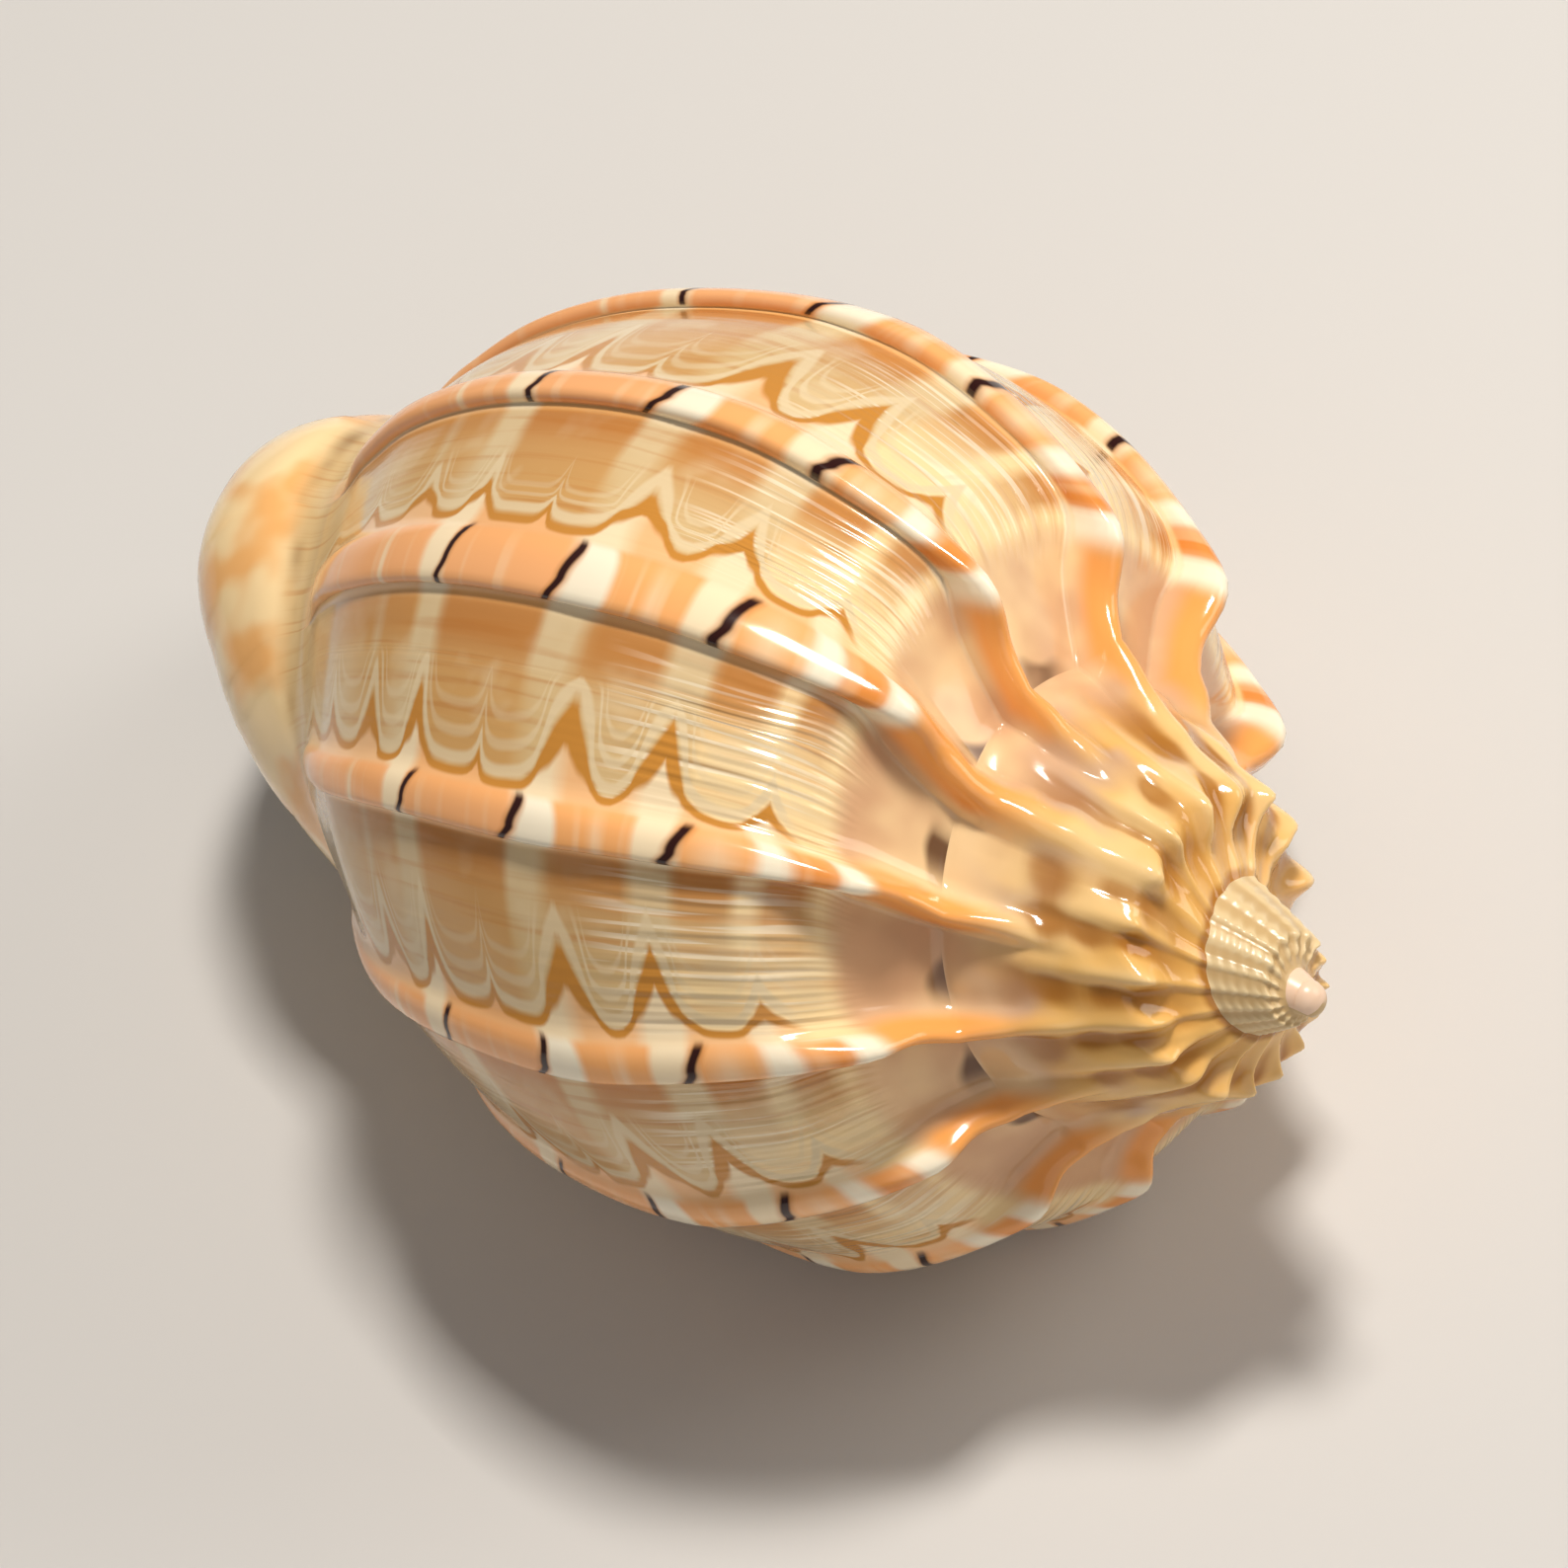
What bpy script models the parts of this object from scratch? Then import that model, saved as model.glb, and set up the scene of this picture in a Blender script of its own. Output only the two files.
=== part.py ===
"""A harp shell: one closed solid, grown rib by rib along a spiral, lying on its mouth.

The shell is worked out about its own axis first, with the tip of the spire at the origin and
the axis running down -Z, and is then laid down to rest. Metres, +Z up.
"""

import math

import bmesh
import bpy
from mathutils import Matrix, Vector

# Size and growth
MOUTH_RADIUS = 0.02164  # axis to outer lip where the last whorl is widest
RIBS_PER_WHORL = 12
WHORL_GROWTH = 2.08  # how much larger the last whorl is than the one before it
# The rest of the spire grew faster, from rib to rib: the rib where each rate starts, the rate
YOUNG_RATES = ((-17.0, 0.120), (-29.0, 0.085))
FIRST_RIB = -38  # ribs are counted from one in the middle of the back
LIP_RIB = 4  # the last rib is the edge of the outer lip
GLAZE_ENDS = -5.5  # older ribs than this are smoothed over by glaze
GLAZE_RIBS = 3.0  # ribs over which the glaze gives way to sharp ribs
CALLUS_ENDS = -4.6  # older ribs than this are covered by the callus beside the mouth
CALLUS_RIBS = 1.8  # ribs over which the callus thins out

# The whorl from suture to base, as shares of the mouth radius:
# place along it, rib crest (radius, depth), floor between ribs (radius, depth), lag in degrees
SUTURE_PLACE = 0.33
WHORL = (
    (0.05, 0.588, 0.636, 0.590, 0.730, -1.5),
    (0.10, 0.708, 0.664, 0.708, 0.786, -2.5),
    (0.14, 0.794, 0.796, 0.782, 0.862, -2.2),
    (0.20, 0.898, 0.982, 0.858, 1.005, -1.2),
    (0.265, 0.964, 1.150, 0.922, 1.175, -0.3),
    (0.33, 0.991, 1.285, 0.955, 1.360, 0.5),
    (0.39, 0.999, 1.480, 0.960, 1.500, 0.9),
    (0.45, 0.984, 1.684, 0.944, 1.684, 1.3),
    (0.55, 0.942, 1.911, 0.903, 1.900, 2.1),
    (0.64, 0.860, 2.130, 0.828, 2.108, 3.1),
    (0.72, 0.742, 2.310, 0.716, 2.290, 3.3),
    (0.78, 0.622, 2.440, 0.614, 2.440, 5.0),
    (0.83, 0.605, 2.555, 0.605, 2.555, 10.0),
    (0.88, 0.535, 2.680, 0.535, 2.680, 20.0),
)
# Past the ridge at the base the whorl turns in round this corner, to end on the columella
BASE_CORNER = (0.390, 2.830)
BASE_ROWS = ((0.93, 0.45, 25.0), (0.965, 0.78, 22.0), (1.00, 1.0, 18.0))
BASE_START = 1.42  # depth on the columella where the last whorl starts
CORNER_GAP = 0.02  # the corner stays this far outside the columella
# The ridge at the base swells and thins as it turns: growth, how much deeper and wider it is
LOBE_PLACE = 0.80  # it starts at this place
LOBE = (
    (-9.0, 0.000),
    (-4.0, -0.035),
    (-1.5, -0.040),
    (0.0, 0.008),
    (1.2, 0.032),
    (2.4, -0.010),
    (3.2, -0.020),
    (4.5, -0.010),
)
# The snail did not grow quite evenly: growth, how much wider the whorl is there
SWELL = (
    (-9.0, 0.000),
    (-6.0, 0.000),
    (-4.0, 0.014),
    (-2.6, 0.042),
    (-1.6, 0.034),
    (-0.6, 0.008),
    (0.5, 0.000),
    (3.0, 0.010),
    (4.5, 0.010),
)
# The columella, from where it leaves the whorl down to its tip: depth, radius
COLUMELLA = ((1.20, 0.270), (1.50, 0.250), (1.85, 0.235), (2.10, 0.195), (2.32, 0.130), (2.50, 0.045))
ROWS_ABOVE_SUTURE = 7
ROWS_BELOW_SUTURE = 17

# One rib, from its older foot to the floor beyond it: place in rib spacings and height, and then
# the same for the broad blade that the rib becomes in the channel beside the suture
RIB_SECTION = (
    (-0.060, 0.00, -0.060, 0.00),
    (-0.082, 0.60, -0.030, 0.45),
    (-0.058, 0.95, 0.000, 0.80),
    (-0.005, 1.00, 0.030, 0.95),
    (0.060, 0.86, 0.060, 1.00),
    (0.130, 0.32, 0.160, 0.85),
    (0.290, 0.04, 0.300, 0.15),
    (0.600, 0.00, 0.600, 0.00),
)
LIP_STEP = 4  # the lip ends on this step of the last rib
RIBS_END = 0.78  # place on the whorl where the ribs have died out
RIBS_TAPER = 0.1  # over this much of the whorl
BLADE_PLACE = 0.07  # from the suture to here a rib is a blade
BLADE_FADE = 0.05  # from there it turns into a rib over this much of the whorl
BLADE_FOOT = (0.520, 0.590)  # radius and depth of a blade's crest where it meets the whorl before
FLARE_FROM = 0.15  # the whorl before flares out to meet it from this place on,
FLARE_POWER = 1.5  # ever more steeply
# Ribs of the spire, softened by glaze
SOFT_HEIGHT = 0.7
SOFT_POWER = 1.5  # how narrow they are
SOFT_LEAN = 0.5  # how much steeper their older side is
SOFT_START = 0.35  # share of their height they have beside the whorl before
SOFT_FADE = 0.5  # share of their height they lose down the slope to the next whorl
SOFT_BY_SUTURE = 0.06  # they keep the line of the whorl before them up to this place
CLOSE_RIBS = 1.5  # how many stand for each rib of the last whorl
CLOSE_BEFORE = -7.75  # growth before which they stand that close
SMOOTH_BEFORE = -31.0  # the first whorl is smooth
NODULE_PLACE = 0.12  # each has a point on the shoulder
NODULE_SPREAD = 0.035
NODULE_HEIGHT = 0.5
YOUNG_BEFORE = -22.0  # on the whorls before this growth they have no points
YOUNG_HEIGHT = 0.4  # and are this low
CONE = 0.8  # how far the slope below the shoulder is flattened to a cone
CALLUS_HEIGHT = 0.3  # height of the callus over the floor
CALLUS_REACH = 0.08  # how far past the suture the callus reaches its full height
# From the rib in the middle of the back: how far each stands from its even place, in degrees
RIB_SHIFT = (-0.5, 3.5, 2.0, 2.0, 1.8, 0.0, -2.0, -3.5, -3.5, -3.5, -1.3, -0.9)
RIB_WIDTH = (1.5, 1.0, 1.1, 1.1, 1.2, 1.0, 1.0, 1.0, 1.0, 1.0, 1.0, 1.0)
RIB_HALF = 0.2  # steps this near the crest belong to the rib and widen with it
TIP_PLACE = 0.10  # the point of a rib at the whorl's shoulder
TIP_SPREAD = 0.05  # how far along the whorl a point reaches
TIP_NARROWING = 0.2

# The mouth: its inner outline behind the lip, from the suture corner to the base, as (radius, depth)
BORE_OUTER = (
    (0.600, 0.868),
    (0.720, 0.905),
    (0.805, 1.050),
    (0.862, 1.230),
    (0.880, 1.450),
    (0.862, 1.700),
    (0.815, 1.910),
    (0.735, 2.110),
    (0.620, 2.290),
    (0.510, 2.440),
    (0.420, 2.550),
    (0.310, 2.600),
    (0.210, 2.570),
    (0.130, 2.510),
)
# and the rest of it, from the suture corner down the columella, as (depth, radius)
BORE_INNER = (
    (0.880, 0.548),
    (0.950, 0.525),
    (1.080, 0.475),
    (1.240, 0.395),
    (1.390, 0.300),
    (1.600, 0.240),
    (1.850, 0.220),
    (2.100, 0.190),
    (2.310, 0.135),
    (2.420, 0.090),
)
BORE_RIBS = 9  # how far back the hollow goes, in ribs
# The rim, ring by ring: share of the way from skin to bore and degrees ahead of the lip,
# and share of the way round the columella to the bore
RIM = ((0.15, 3.0, 0.2), (0.40, 3.5, 0.4), (0.65, 3.0, 0.6), (0.85, 1.0, 0.8), (1.0, -3.0, 1.0))

# The smooth tip of the spire, as rings of (radius, height) in shares of the mouth radius
SPIRE_TIP = ((0.016, -0.012), (0.010, -0.003))

# How it lies on its mouth: turned about its axis, and the spire's end raised
SPIN_DEG = -171.4
TILT_DEG = 10.2

SHELL_COLOUR = (0.80, 0.52, 0.30, 1.0)
SHELL_ROUGHNESS = 0.22

TIP_HEIGHT = 0.004  # the tip stands this far over the last ring

GROWTH = math.log(WHORL_GROWTH) / RIBS_PER_WHORL
STEPS = len(RIB_SECTION)
LIP_OFFSET = RIB_SECTION[LIP_STEP][0]


def clear_scene():
    for thing in list(bpy.data.objects):
        bpy.data.objects.remove(thing, do_unlink=True)


def ease(x):
    x = min(1.0, max(0.0, x))
    return x * x * (3.0 - 2.0 * x)


def mix(a, b, share):
    return tuple(p + (q - p) * share for p, q in zip(a, b))


def curve_at(knots, place):
    """A smooth curve through rows that start with their place along it."""
    last = len(knots) - 2
    i = next((k for k in range(last + 1) if place <= knots[k + 1][0]), last)
    before, a, b, after = knots[max(i - 1, 0)], knots[i], knots[i + 1], knots[min(i + 2, last + 1)]
    span = b[0] - a[0]
    x = (place - a[0]) / span
    found = []
    for p, q, r, s in zip(before[1:], a[1:], b[1:], after[1:]):
        leave = (r - p) / (b[0] - before[0]) * span
        arrive = (s - q) / (after[0] - a[0]) * span
        turn = (2 * x**3 - 3 * x**2 + 1) * q + (x**3 - 2 * x**2 + x) * leave
        found.append(turn + (3 * x**2 - 2 * x**3) * r + (x**3 - x**2) * arrive)
    return found


def size_at(n):
    """The shell's size at growth n, as a share of its size at the lip."""
    power = GROWTH * (n - LIP_RIB)
    rate = GROWTH
    for start, faster in YOUNG_RATES:
        power -= (faster - rate) * max(0.0, start - n)
        rate = faster
    return math.exp(power)


def bareness(n):
    """0 where glaze covers the ribs, 1 where they are bare."""
    return ease((n - GLAZE_ENDS + GLAZE_RIBS) / GLAZE_RIBS)


def flattened(row, shoulder, joint, share):
    """A row between the shoulder and the suture, drawn in to the straight line between them."""
    along = (row[0] - shoulder[0]) / (joint[0] - shoulder[0])
    line = mix(shoulder[1:5], joint[1:5], along)
    return mix(row[1:5], line, share)


def whorl_knots(n):
    """The whorl's rows at growth n, from the suture of the whorl before it to the columella."""
    size = size_at(n)
    before = size_at(n - RIBS_PER_WHORL) / size
    bare = bareness(n)
    joint = next(row for row in WHORL if row[0] == SUTURE_PLACE)
    shoulder = next(row for row in WHORL if row[0] == TIP_PLACE)
    stretch = (1.0 - before) / (1.0 - 1.0 / WHORL_GROWTH)
    lobe = curve_at(LOBE, max(n, LOBE[0][0]))[0]
    swell = curve_at(SWELL, max(n, SWELL[0][0]))[0]
    start = [value * before for value in joint[1:5]]
    start[:2] = mix(start[:2], BLADE_FOOT, bare)
    rows = [(0.0, *start, joint[5])]
    for row in WHORL:
        if row[0] < SUTURE_PLACE:
            shape = row[1:5]
            if row[0] > TIP_PLACE:
                shape = flattened(row, shoulder, joint, CONE * (1.0 - bare))
            shape = [j + (value - j) * stretch for value, j in zip(shape, joint[1:5])]
            row = (row[0], *shape, row[5])
        if row[0] > LOBE_PLACE:
            row = (row[0], *(value + lobe for value in row[1:5]), row[5])
        elif row[0] > TIP_PLACE:
            row = (row[0], row[1] + swell, row[2], row[3] + swell, row[4], row[5])
        rows.append(row)
    ridge = rows[-1][1:3]
    grown = min(1.0, max(0.0, 1.0 - (LIP_RIB - n) / RIBS_PER_WHORL))
    end_depth = BASE_START + (COLUMELLA[-1][0] - BASE_START) * math.sin(0.5 * math.pi * grown)
    end = (curve_at(COLUMELLA, end_depth)[0] / size, end_depth / size)
    corner = (max(BASE_CORNER[0], end[0] + CORNER_GAP), BASE_CORNER[1] + lobe)
    for place, share, lag in BASE_ROWS:
        turned = mix(mix(ridge, corner, share), mix(corner, end, share), share)
        rows.append((place, *turned, *turned, lag))
    return rows


def whorl_places():
    above = [SUTURE_PLACE * i / ROWS_ABOVE_SUTURE for i in range(ROWS_ABOVE_SUTURE + 1)]
    rest = 1.0 - SUTURE_PLACE
    below = [SUTURE_PLACE + rest * i / ROWS_BELOW_SUTURE for i in range(1, ROWS_BELOW_SUTURE + 1)]
    return above + below


def rib_shift(n):
    """Ribs are not evenly spaced: how far this one stands from its even place, in radians."""
    rib = math.floor(n)
    a, b = (RIB_SHIFT[k % RIBS_PER_WHORL] for k in (rib, rib + 1))
    return math.radians(a + (b - a) * ease(n - rib))


def sweep(radius, depth, n, lag=0.0):
    """A point of the growing whorl: shares of the mouth radius at growth n, in ribs."""
    scale = MOUTH_RADIUS * size_at(n)
    turn = -2.0 * math.pi * n / RIBS_PER_WHORL + rib_shift(n) + math.radians(lag)
    return Vector((radius * math.cos(turn), radius * math.sin(turn), -depth)) * scale


def soft_rib(n, place):
    """Height of the glazed ribs of the spire."""
    count = CLOSE_RIBS * (n - CLOSE_BEFORE) + CLOSE_BEFORE if n < CLOSE_BEFORE else n
    turn = 2.0 * math.pi * count
    ridge = (0.5 + 0.5 * math.cos(turn + SOFT_LEAN * math.cos(turn))) ** SOFT_POWER
    adult = ease((n - YOUNG_BEFORE) / GLAZE_RIBS)
    near = 1.0 - ease(place / NODULE_PLACE)
    slope = ease((place - NODULE_PLACE) / (SUTURE_PLACE - NODULE_PLACE))
    ridge *= 1.0 - ((1.0 - SOFT_START) * near + SOFT_FADE * slope) * adult
    nodule = NODULE_HEIGHT * math.exp(-(((place - NODULE_PLACE) / NODULE_SPREAD) ** 2)) * adult
    height = SOFT_HEIGHT * (YOUNG_HEIGHT + (1.0 - YOUNG_HEIGHT) * adult) * (1.0 + nodule)
    return height * ridge * ease((n - SMOOTH_BEFORE) / GLAZE_RIBS)


def skin_point(rib, step, place):
    """A point of the outer skin, on one step of one rib."""
    offset, height, blade_offset, blade = RIB_SECTION[step]
    even = LIP_OFFSET + (step - LIP_STEP) / STEPS
    n = rib + even
    callus = ease((CALLUS_ENDS - n) / CALLUS_RIBS) * ease((place - SUTURE_PLACE) / CALLUS_REACH)
    sharp = bareness(n) * (1.0 - callus) * ease((RIBS_END - place) / RIBS_TAPER)
    turned = ease((place - BLADE_PLACE) / BLADE_FADE)
    glazed = soft_rib(n - RIBS_PER_WHORL, SUTURE_PLACE)
    glazed += (soft_rib(n, place) - glazed) * ease(place / SOFT_BY_SUTURE)
    height = glazed + (blade + (height - blade) * turned - glazed) * sharp
    height += (CALLUS_HEIGHT - height) * callus
    blade_offset = even + (blade_offset - even) * bareness(n)
    offset = blade_offset + (offset - blade_offset) * sharp * turned
    if abs(offset) < RIB_HALF:
        point = math.exp(-(((place - TIP_PLACE) / TIP_SPREAD) ** 2)) * sharp
        offset *= RIB_WIDTH[rib % RIBS_PER_WHORL] * (1.0 - TIP_NARROWING * point)
    crest_r, crest_z, floor_r, floor_z, lag = curve_at(whorl_knots(rib + offset), place)
    radius = floor_r + (crest_r - floor_r) * height
    depth = floor_z + (crest_z - floor_z) * height
    return sweep(radius, depth, rib + offset, lag)


def extend(bm, line, closed=False):
    """Extrudes the edges of an ordered line of points and gives the new line."""
    ends = line[1:] + line[:1] if closed else line[1:]
    edges = [bm.edges.get(pair) for pair in zip(line, ends)]
    made = bmesh.ops.extrude_edge_only(bm, edges=edges)["geom"]
    fresh = {item for item in made if isinstance(item, bmesh.types.BMVert)}
    sides = ((edge.other_vert(v) for edge in v.link_edges) for v in line)
    return [next(v for v in side if v in fresh) for side in sides]


def draw_line(bm, points, start=()):
    line = list(start) + [bm.verts.new(point) for point in points]
    for a, b in zip(line, line[1:]):
        if not bm.edges.get((a, b)):
            bm.edges.new((a, b))
    return line


def grow_skin(bm):
    """The outer skin: the exposed strip of each whorl, then the whole of the last one."""
    places = whorl_places()
    strip = []
    axis = []
    lip_index = (LIP_RIB - FIRST_RIB) * STEPS + LIP_STEP
    whole_from = lip_index - RIBS_PER_WHORL * STEPS
    line = parietal = None
    for index in range(lip_index + 1):
        rib, step = FIRST_RIB + index // STEPS, index % STEPS
        wide = places if index > whole_from else places[: ROWS_ABOVE_SUTURE + 1]
        points = [skin_point(rib, step, place) for place in wide]
        if line is None:
            line = draw_line(bm, points)
        else:
            line = extend(bm, line)
            for vert, point in zip(line, points):
                vert.co = point
        if index == whole_from:
            more = [skin_point(rib, step, place) for place in places[len(wide):]]
            line = draw_line(bm, more, start=line)
            parietal = line[ROWS_ABOVE_SUTURE:]
        strip.append(line[: ROWS_ABOVE_SUTURE + 1])
        if index >= whole_from:
            axis.append(line[-1])
    return strip, axis, parietal, line


def draw_flares(strip, turn):
    """Draws the slope above the suture out to the feet of the blades laid on it."""
    for earlier, later in zip(strip, strip[turn:]):
        pull = later[0].co - earlier[-1].co
        for vert, place in zip(earlier, whorl_places()):
            share = max(0.0, (place - FLARE_FROM) / (SUTURE_PLACE - FLARE_FROM))
            vert.co += pull * share**FLARE_POWER


def thin_out(bm, line, every):
    """Welds an ordered line of points in groups and gives the points that stay."""
    kept = line[::every]
    pairs = {v: kept[i // every] for i, v in enumerate(line) if i % every}
    bmesh.ops.weld_verts(bm, targetmap=pairs)
    return kept


def by_length(points):
    """Rows of a curve whose places along it run from 0 to 1 with its length."""
    runs = [math.dist(a, b) for a, b in zip(points, points[1:])]
    whole = sum(runs)
    return [(sum(runs[:i]) / whole, *point) for i, point in enumerate(points)]


def mouth_ways(rim, lip_count, axis_count):
    """For each point round the mouth: its bore point, the lags of its two ends, its share of a turn."""
    outer = by_length(BORE_OUTER)
    deepest, highest = BORE_INNER[-1][0], BORE_INNER[0][0]
    knots = whorl_knots(LIP_RIB)
    places = whorl_places()
    lags = [curve_at(knots, place)[4] for place in places]
    ways = [(curve_at(outer, i / (lip_count - 1)), lags[i], lags[i], None) for i in range(lip_count)]
    ways[-1] = (BORE_OUTER[-1], lags[-1], 0.0, 1.0)
    parietal_count = len(rim) - lip_count - axis_count
    for i, vert in enumerate(rim[lip_count:], 1):
        if i <= axis_count:
            depth = min(-vert.co.z / MOUTH_RADIUS, deepest)
            lag, on_axis = lags[-1], 1.0 - i / (axis_count + 1)
        else:
            share = (i - axis_count) / (parietal_count + 1)
            depth = BASE_START + (highest - BASE_START) * share
            lag, on_axis = lags[axis_count - i], None
        ways.append(((curve_at(BORE_INNER, depth)[0], depth), lag, 0.0, on_axis))
    return ways


def line_mouth(bm, rim, ways):
    """The rim rounded over, and the hollow behind it down to its closed end."""
    outline = [(math.hypot(v.co.x, v.co.y) / MOUTH_RADIUS, -v.co.z / MOUTH_RADIUS) for v in rim]
    lip_n = LIP_RIB + LIP_OFFSET
    line = rim
    for share, ahead, round_share in RIM:
        line = extend(bm, line, closed=True)
        for vert, start, (bore, rim_lag, bore_lag, on_axis) in zip(line, outline, ways):
            if on_axis is None:
                radius, depth = mix(start, bore, share)
                lag = rim_lag + (bore_lag - rim_lag) * share - ahead
            else:
                radius, depth = mix(start, bore, round_share)
                lag = (rim_lag - 360.0 * on_axis) * (1.0 - round_share)
                if round_share < 1.0:
                    radius = curve_at(COLUMELLA, depth)[0]
            vert.co = sweep(radius, depth, lip_n, lag)
    for back in range(1, BORE_RIBS + 1):
        line = extend(bm, line, closed=True)
        for vert, (bore, _, lag, _) in zip(line, ways):
            vert.co = sweep(*bore, lip_n - back, lag)
    middle = sum((vert.co for vert in line), Vector()) / len(line)
    bmesh.ops.pointmerge(bm, verts=line, merge_co=middle)


def close_spire(bm, rim, every):
    """The smooth first whorl at the tip, as a small dome on the spiral's first turn."""
    line = rim
    for i, (radius, height) in enumerate(SPIRE_TIP):
        line = extend(bm, line, closed=True)
        for vert in line:
            turn = math.atan2(vert.co.y, vert.co.x)
            ring = Vector((radius * math.cos(turn), radius * math.sin(turn), height))
            vert.co = ring * MOUTH_RADIUS
        if i == 0:
            line = thin_out(bm, line, every)
    tip = Vector((0.0, 0.0, line[0].co.z + TIP_HEIGHT * MOUTH_RADIUS))
    bmesh.ops.pointmerge(bm, verts=line, merge_co=tip)


def lay_down(bm):
    spin = Matrix.Rotation(math.radians(SPIN_DEG), 4, "Z")
    lay = Matrix.Rotation(math.radians(90.0 - TILT_DEG), 4, "Y")
    bmesh.ops.transform(bm, matrix=lay @ spin, verts=bm.verts)
    low = Vector(min(v.co[i] for v in bm.verts) for i in range(3))
    high = Vector(max(v.co[i] for v in bm.verts) for i in range(3))
    down = Matrix.Translation((-(low.x + high.x) / 2, -(low.y + high.y) / 2, -low.z))
    bmesh.ops.transform(bm, matrix=down, verts=bm.verts)


def shell_material():
    material = bpy.data.materials.new("harp_shell_glaze")
    material.use_nodes = True
    surface = material.node_tree.nodes["Principled BSDF"]
    surface.inputs["Base Color"].default_value = SHELL_COLOUR
    surface.inputs["Roughness"].default_value = SHELL_ROUGHNESS
    surface.inputs["Metallic"].default_value = 0.0
    return material


def build_shell():
    bm = bmesh.new()
    strip, axis, parietal, lip = grow_skin(bm)
    turn = RIBS_PER_WHORL * STEPS
    draw_flares(strip, turn)
    top = [line[0] for line in strip]
    seam = {later[0]: earlier[-1] for earlier, later in zip(strip, strip[turn:])}
    bmesh.ops.weld_verts(bm, targetmap=seam)
    close_spire(bm, top[:turn] + strip[0][:0:-1], STEPS)
    inner_edge = thin_out(bm, axis[:-1], STEPS)
    lip[0] = parietal[0]
    mouth_rim = lip + inner_edge[:0:-1] + parietal[:0:-1]
    ways = mouth_ways(mouth_rim, len(lip), len(inner_edge) - 1)
    line_mouth(bm, mouth_rim, ways)
    bmesh.ops.recalc_face_normals(bm, faces=bm.faces)
    lay_down(bm)
    return bm


def main():
    clear_scene()
    collection = bpy.data.collections.new("harp_shell")
    bpy.context.scene.collection.children.link(collection)
    bm = build_shell()
    mesh = bpy.data.meshes.new("harp_shell")
    bm.to_mesh(mesh)
    bm.free()
    mesh.shade_smooth()
    mesh.materials.append(shell_material())
    collection.objects.link(bpy.data.objects.new("harp_shell", mesh))


if __name__ == "__main__":
    main()
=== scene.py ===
# %% [markdown]
# # A harp shell
# The shell of a harp snail, lying on its mouth. The snail built it as one piece, whorl over
# whorl, and thickened the edge of its mouth into a rib each time it stopped growing. The ribs
# stand like the strings of a harp, banded in orange, pink and cream with fine black lines,
# and the fawn spaces between them carry brown festoons. All of it is glazed like porcelain.
#
# The shape is grown here much as the animal grew it. A law says how large the shell is at each
# moment of its life, and a profile, from seam to base, is swept along a spiral by it. Short
# tables then add what is peculiar to this one shell, since no real shell keeps to the law.

import math

import bmesh
import bpy
from mathutils import Matrix, Vector, noise


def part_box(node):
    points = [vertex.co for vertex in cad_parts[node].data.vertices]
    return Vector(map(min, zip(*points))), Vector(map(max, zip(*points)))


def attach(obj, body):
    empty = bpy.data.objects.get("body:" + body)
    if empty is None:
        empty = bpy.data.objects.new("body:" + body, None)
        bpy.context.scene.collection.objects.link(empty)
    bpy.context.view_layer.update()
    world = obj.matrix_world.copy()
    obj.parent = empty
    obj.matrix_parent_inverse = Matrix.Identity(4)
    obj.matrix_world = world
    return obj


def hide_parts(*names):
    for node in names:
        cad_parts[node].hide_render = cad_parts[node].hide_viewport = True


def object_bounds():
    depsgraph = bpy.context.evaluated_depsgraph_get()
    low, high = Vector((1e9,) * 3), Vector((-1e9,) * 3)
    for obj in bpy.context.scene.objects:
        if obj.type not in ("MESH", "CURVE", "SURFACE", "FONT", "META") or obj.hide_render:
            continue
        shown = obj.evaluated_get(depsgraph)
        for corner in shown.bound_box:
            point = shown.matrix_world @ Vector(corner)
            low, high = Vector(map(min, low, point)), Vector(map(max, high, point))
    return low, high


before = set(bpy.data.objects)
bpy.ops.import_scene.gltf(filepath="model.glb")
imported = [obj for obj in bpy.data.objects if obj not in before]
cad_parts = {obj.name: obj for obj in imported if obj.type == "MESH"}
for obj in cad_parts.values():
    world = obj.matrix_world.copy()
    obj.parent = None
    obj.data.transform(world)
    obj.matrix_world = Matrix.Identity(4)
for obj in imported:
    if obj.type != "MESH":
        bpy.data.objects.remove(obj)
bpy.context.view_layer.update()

# %% [markdown]
# ## Growth
# A shell keeps its shape while it grows, so every part of it can be named by two numbers: the
# growth when it was made, counted in ribs, and the place across the whorl, from 0 at the seam
# with the whorl before to 1 where the base wraps the columella. Rib 0 is in the middle of the
# back and rib 4 is the lip of the mouth. The last whorl is about twice the size of the one
# before it, and the first whorls grew even faster from rib to rib.

# %% Size at each moment
MOUTH_RADIUS = 0.02164  # axis to outer lip where the last whorl is widest
RIBS_PER_WHORL = 12
WHORL_GROWTH = 2.08
YOUNG_RATES = ((-17.0, 0.120), (-29.0, 0.085))  # growth before which each rate holds, the rate
FIRST_RIB = -38  # the growth at which the shell starts
LIP_RIB = 4  # the growth at which it ends
GROWTH = math.log(WHORL_GROWTH) / RIBS_PER_WHORL


def ease(x):
    x = min(1.0, max(0.0, x))
    return x * x * (3.0 - 2.0 * x)


def mix(a, b, share):
    return tuple(p + (q - p) * share for p, q in zip(a, b))


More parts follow.
